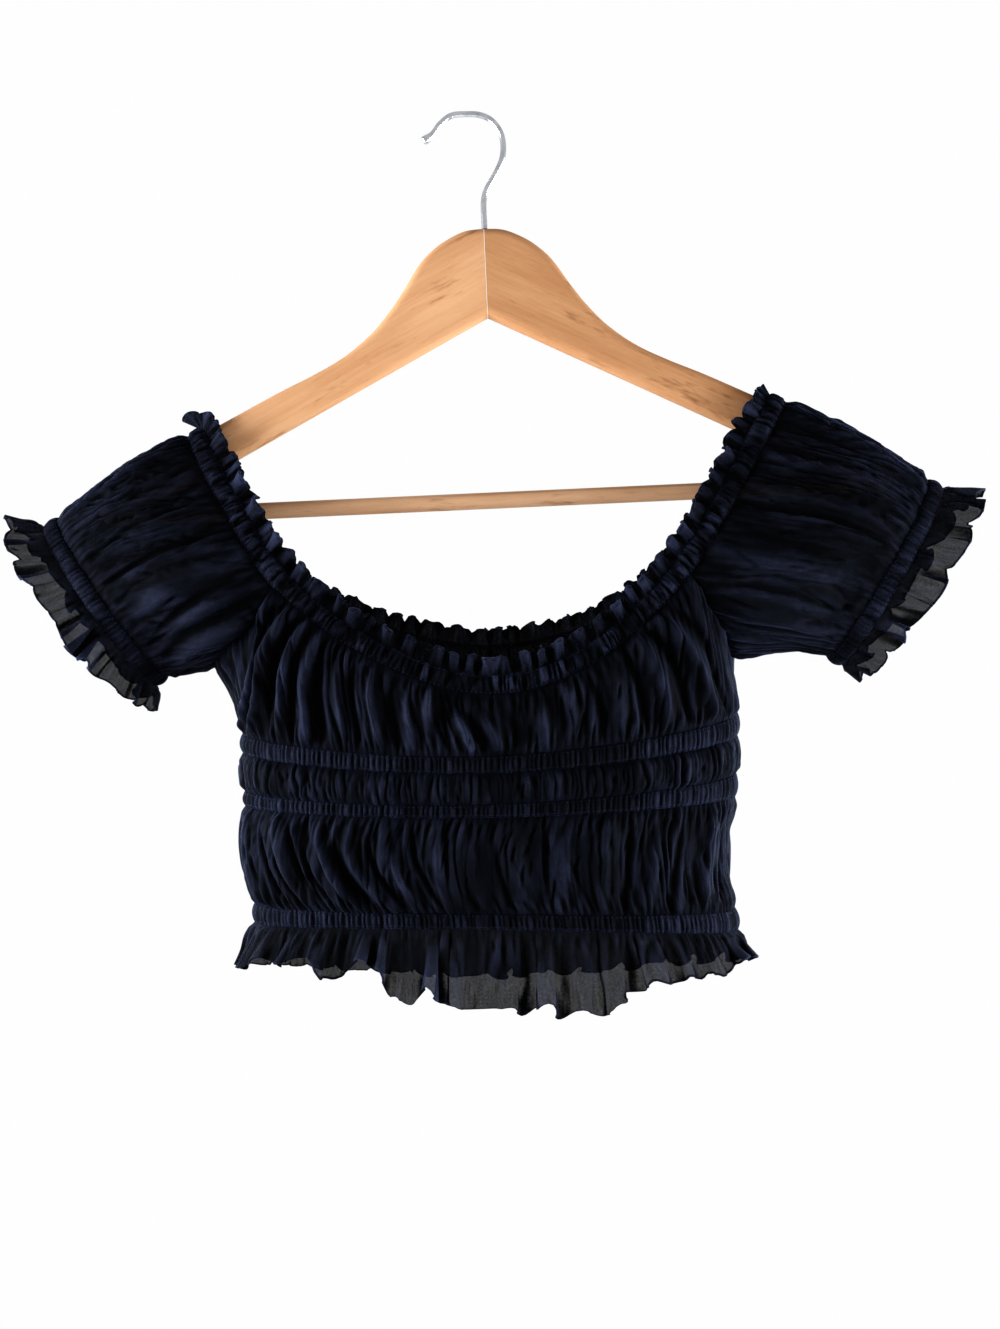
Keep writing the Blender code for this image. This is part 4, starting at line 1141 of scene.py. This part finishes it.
class Look:
    """A material whose nodes are made by one method."""

    def __init__(self, name):
        self.material = bpy.data.materials.new(name)
        self.material.use_nodes = True
        self.tree = self.material.node_tree
        self.shader = self.tree.nodes["Principled BSDF"]

    def add(self, kind, settings, sockets, output=0):
        """Make a node, set its settings first, then its sockets, and give one of its outputs."""
        node = self.tree.nodes.new(kind)
        for name, value in settings.items():
            setattr(node, name, value)
        for name, value in sockets.items():
            self.feed(self.socket(node, name), value)
        if isinstance(output, str):
            return Tone(self, node.outputs[output])
        return Tone(self, [s for s in node.outputs if s.enabled][output])

    @staticmethod
    def socket(node, name):
        if isinstance(name, int):
            return node.inputs[name]
        return next(s for s in node.inputs if s.name == name and s.enabled)

    def feed(self, socket, value):
        """Link a tone to a socket, or set its constant; a colour also gets its alpha."""
        if isinstance(value, Tone):
            self.tree.links.new(value.socket, socket)
        else:
            socket.default_value = (*value, 1.0) if socket.type == "RGBA" else value

    def set(self, **sockets):
        for name, value in sockets.items():
            self.feed(self.shader.inputs[name.replace("_", " ")], value)

    def attribute(self, name, output):
        return self.add("ShaderNodeAttribute", {"attribute_name": name}, {}, output)

    def noise(self, vector, scale, detail, roughness):
        settings = {"noise_dimensions": "3D"}
        sockets = {"Vector": vector, "Scale": scale, "Detail": detail, "Roughness": roughness}
        return self.add("ShaderNodeTexNoise", settings, sockets, "Fac")

    def streaks(self, vector, sizes, detail, roughness, scale=1.0):
        """Noise whose spots are stretched or pressed by the sizes in X, Y and Z."""
        stretched = self.add("ShaderNodeVectorMath", {"operation": "MULTIPLY"}, {0: vector, 1: sizes})
        return self.noise(stretched, scale, detail, roughness)

    def blend(self, share, first, second):
        settings = {"data_type": "RGBA", "clamp_factor": True}
        return self.add("ShaderNodeMix", settings, {"Factor": share, "A": first, "B": second})

    def ranged(self, value, low, high, to_low=0.0, to_high=1.0):
        sockets = {"Value": value, "From Min": low, "From Max": high, "To Min": to_low, "To Max": to_high}
        return self.add("ShaderNodeMapRange", {"clamp": True}, sockets)

    def bump(self, height, distance):
        return self.add("ShaderNodeBump", {}, {"Height": height, "Distance": distance * MM, "Strength": 1.0})


# Voile colours: painted shade in creases and low crinkles, painted light on fold crests, crinkle tops and
# sheen patches
VOILE_SHADED = (0.0024, 0.0024, 0.0029)
VOILE_LIT = (0.0192, 0.0210, 0.0350)
SHEEN_TINT = (0.42, 0.50, 0.86)
THREAD_PITCH = 0.62
STITCH_INSET = 1.1
STITCH_WIDTH = 0.35
STITCH_PITCH = 2.4

# Woods: ground colour, deeper bands, streaks, and how far the grain is shifted
WOODS = {
    # The left arm's wood has a lighter ground than the right arm's: painted light from the left
    "pale wood": ((0.36, 0.208, 0.113), (0.295, 0.154, 0.076), (0.19, 0.085, 0.036), 0.0),
    "wood": ((0.305, 0.167, 0.085), (0.238, 0.116, 0.052), (0.125, 0.052, 0.021), 53.0),
    "bar wood": ((0.36, 0.225, 0.135), (0.285, 0.163, 0.091), (0.15, 0.07, 0.036), 120.0),
}


def voile(name, see_through, stitched=False):
    """Dark crinkled voile: crossing threads, crinkles down the cloth, and see-through between them. Its
    colour holds painted shade in the creases and painted light on the fold crests and in broad sheen
    patches.
    """
    look = Look(name)
    weave = look.attribute("weave", "Vector")
    # How far up its fold each point is, read to paint shade into creases and light onto crests
    crest = look.attribute("crest", "Fac")
    across, down, height = (look.add("ShaderNodeSeparateXYZ", {}, {0: weave}, axis) for axis in "XYZ")
    crinkle = look.streaks(weave, (0.75, 0.09, 0.0), 4.0, 0.65)
    crumple = look.streaks(weave, (0.30, 0.16, 0.0), 3.0, 0.55)
    slub = look.streaks(weave, (1.3, 1.0, 0.0), 2.0, 0.6)
    # Broad painted sheen: slow noise that dims the painted light outside its patches
    painted_sheen_patches = look.streaks(weave, (0.034, 0.021, 0.05), 2.0, 0.6)
    threads = (across * (math.tau / THREAD_PITCH)).sine() * (down * (math.tau / THREAD_PITCH)).sine()
    # Painted light and shade: the colour runs from the shaded to the lit voile, lighter on fold crests and
    # crinkle tops and darker in the creases between them
    tone = look.ranged(crinkle * 0.25 + crumple * 0.25 + crest * 0.5, 0.38, 0.86)
    tone = tone * look.ranged(painted_sheen_patches, 0.40, 0.60, 0.28, 1.0)
    relief = crinkle * 0.7 + crumple * 0.7 + slub * 0.14 + threads * 0.04
    woven = look.ranged(slub * 0.5 + crinkle * 0.5, 0.34, 0.66, see_through - 0.09, see_through + 0.09)
    # Creases are made nearly opaque, partly because the cloth lies double there and partly as painted shade
    # in dark lines
    cover = woven + look.ranged(crest, 0.0, 0.3, 0.3, 0.0)
    if stitched:
        from_top = (down - STITCH_INSET) / STITCH_WIDTH
        from_foot = (height - down - STITCH_INSET) / STITCH_WIDTH
        rows = math.e ** (0.0 - from_top * from_top) + math.e ** (0.0 - from_foot * from_foot)
        thread = rows * look.ranged((across * (math.tau / STITCH_PITCH)).sine(), -0.5, 0.1)
        relief = relief - rows * 0.9 + thread * 0.7
        tone = tone * (1.6 - rows * 0.75) + thread * 0.45
        cover = cover.most(rows)
    look.set(
        Base_Color=look.blend(tone, VOILE_SHADED, VOILE_LIT),
        Roughness=look.ranged(crinkle, 0.3, 0.7, 0.62, 0.80),
        Sheen_Weight=0.08,
        Sheen_Roughness=0.3,
        Sheen_Tint=SHEEN_TINT,
        Specular_IOR_Level=0.02,
        Alpha=cover.most(look.attribute("hem", "Fac")).least(1.0),
        Normal=look.bump(relief, 0.75),
    )
    return look.material


def wood(name):
    """Satin wood: soft growth bands along the grain, fine pores and a few darker streaks."""
    pale, deep, streak, shift = WOODS[name]
    look = Look(name)
    shifted = {0: look.attribute("grain", "Vector"), 1: (shift, shift * 0.7, 0.0)}
    placed = look.add("ShaderNodeVectorMath", {"operation": "ADD"}, shifted)
    bands = look.streaks(placed, (0.011, 0.085, 0.05), 3.0, 0.55)
    lines = look.streaks(placed, (0.02, 0.55, 0.3), 4.0, 0.6)
    pores = look.streaks(placed, (0.16, 2.4, 1.2), 2.0, 0.6)
    marks = look.streaks(placed, (0.022, 0.12, 0.06), 3.0, 0.7, 1.3)
    ground = look.blend(look.ranged(bands * 0.65 + lines * 0.35, 0.36, 0.66), pale, deep)
    fine = look.ranged(pores, 0.55, 0.75)
    dark = look.ranged(marks, 0.60, 0.74)
    look.set(
        Base_Color=look.blend((dark * 0.7 + fine * 0.22).least(0.8), ground, streak),
        Roughness=look.ranged(lines * 0.7 + pores * 0.3, 0.3, 0.7, 0.50, 0.66),
        Specular_IOR_Level=0.12,
        Normal=look.bump(lines * 0.6 + pores * 0.4, 0.12),
    )
    return look.material


def chrome(name):
    look = Look(name)
    smear = look.noise(look.add("ShaderNodeTexCoord", {}, {}, "Object"), 220.0, 3.0, 0.6)
    look.set(
        Base_Color=look.blend(look.ranged(smear, 0.35, 0.7), (0.52, 0.53, 0.55), (0.36, 0.37, 0.39)),
        Metallic=1.0,
        Roughness=look.ranged(smear, 0.3, 0.7, 0.12, 0.24),
        Normal=look.bump(smear, 0.03),
    )
    return look.material


def pale_floor(name):
    look = Look(name)
    speckle = look.noise(look.add("ShaderNodeTexCoord", {}, {}, "Object"), 60.0, 3.0, 0.6)
    look.set(Base_Color=look.blend(speckle, (0.60, 0.59, 0.57), (0.64, 0.63, 0.61)), Roughness=0.8)
    return look.material


FLOOR_LEVEL = -1250.0
FLOOR_RADIUS = 1050.0
CAMERA_SPOT = (18.7, -800.0, -301.1)
CAMERA_LENS = 39.4

WINDOW_TINT = (0.80, 0.89, 1.0)
ROOM_LIGHT = 0.69

# Soft lights: name, place, the point they face, width, height and power
LIGHTS = [
    ("left window", (-900, -230, -350), (-60, 0, -370), 450, 800, 35.0),
    ("right window", (950, -210, -480), (120, 0, -400), 450, 700, 33.0),
    ("left rear window", (-800, 450, -300), (-60, 0, -350), 450, 700, 12.0),
    ("right rear window", (820, 450, -300), (120, 0, -400), 450, 700, 11.0),
]


def make_stage():
    shape = bmesh.new()
    bmesh.ops.create_circle(shape, cap_ends=True, segments=96, radius=FLOOR_RADIUS * MM)
    mesh = bpy.data.meshes.new("floor")
    shape.to_mesh(mesh)
    shape.free()
    mesh.materials.append(pale_floor("pale floor"))
    add_object("floor", mesh, (0, 0, FLOOR_LEVEL))

    for name, place, target, width, height, power in LIGHTS:
        lamp = bpy.data.lights.new(name, "AREA")
        lamp.shape = "RECTANGLE"
        lamp.size = width * MM
        lamp.size_y = height * MM
        lamp.energy = power
        lamp.color = WINDOW_TINT
        facing = Vector(target) - Vector(place)
        add_object(name, lamp, place).rotation_euler = facing.to_track_quat("-Z", "Y").to_euler()

    world = bpy.data.worlds.new("white room")
    world.use_nodes = True
    sky = world.node_tree.nodes["Background"]
    sky.inputs["Color"].default_value = (1.0, 1.0, 1.0, 1.0)
    sky.inputs["Strength"].default_value = ROOM_LIGHT
    bpy.context.scene.world = world
    bpy.context.scene.view_settings.view_transform = "Standard"
    bpy.context.scene.view_settings.look = "High Contrast"

    camera = bpy.data.cameras.new("camera")
    camera.lens = CAMERA_LENS
    camera.sensor_width = 36.0
    camera.clip_start = 0.01
    item = add_object("camera", camera, CAMERA_SPOT)
    item.rotation_euler = (math.radians(90), 0, 0)
    bpy.context.scene.camera = item


def main():
    panel_voile = voile("crinkled voile", 0.90)
    band_voile = voile("shirred voile", 0.93, stitched=True)
    ruffle_voile = voile("sheer voile", 0.72)
    for half in ("front", "back"):
        make_yoke(half, panel_voile)
        make_panel("midriff", "upper band foot", "middle band top", half, panel_voile)
        make_panel("waist", "middle band foot", "lower band top", half, panel_voile)
    for name in ("upper", "middle", "lower"):
        edges = [ring(f"{name} band {edge}", BAND_COLUMNS) for edge in ("top", "foot")]
        make_band(f"band_{name}", f"band_{name}", edges, BODY_BAND, BODY_MIDDLE, band_voile)
    make_hem_ruffle(ruffle_voile)
    make_casing(band_voile)
    make_neck_ruffle(band_voile)
    for side in ("left", "right"):
        make_sleeve(side, panel_voile)
        edges = [cuff_ring(side, CUFF_COLUMNS["band"], shift) for shift in (0.0, CUFF_BAND_WIDTH)]
        middle = cuff_frame(side)[0]
        make_band(f"cuff_band_{side}", f"cuff {side}", edges, CUFF_BAND, middle, band_voile)
        make_cuff_ruffle(side, ruffle_voile)
    # Left arm in the lighter wood and right arm in the darker: painted light from the left
    make_arm("left", "pale wood")
    make_arm("right", "wood")
    make_bar()
    make_hook()
    make_stage()


main()
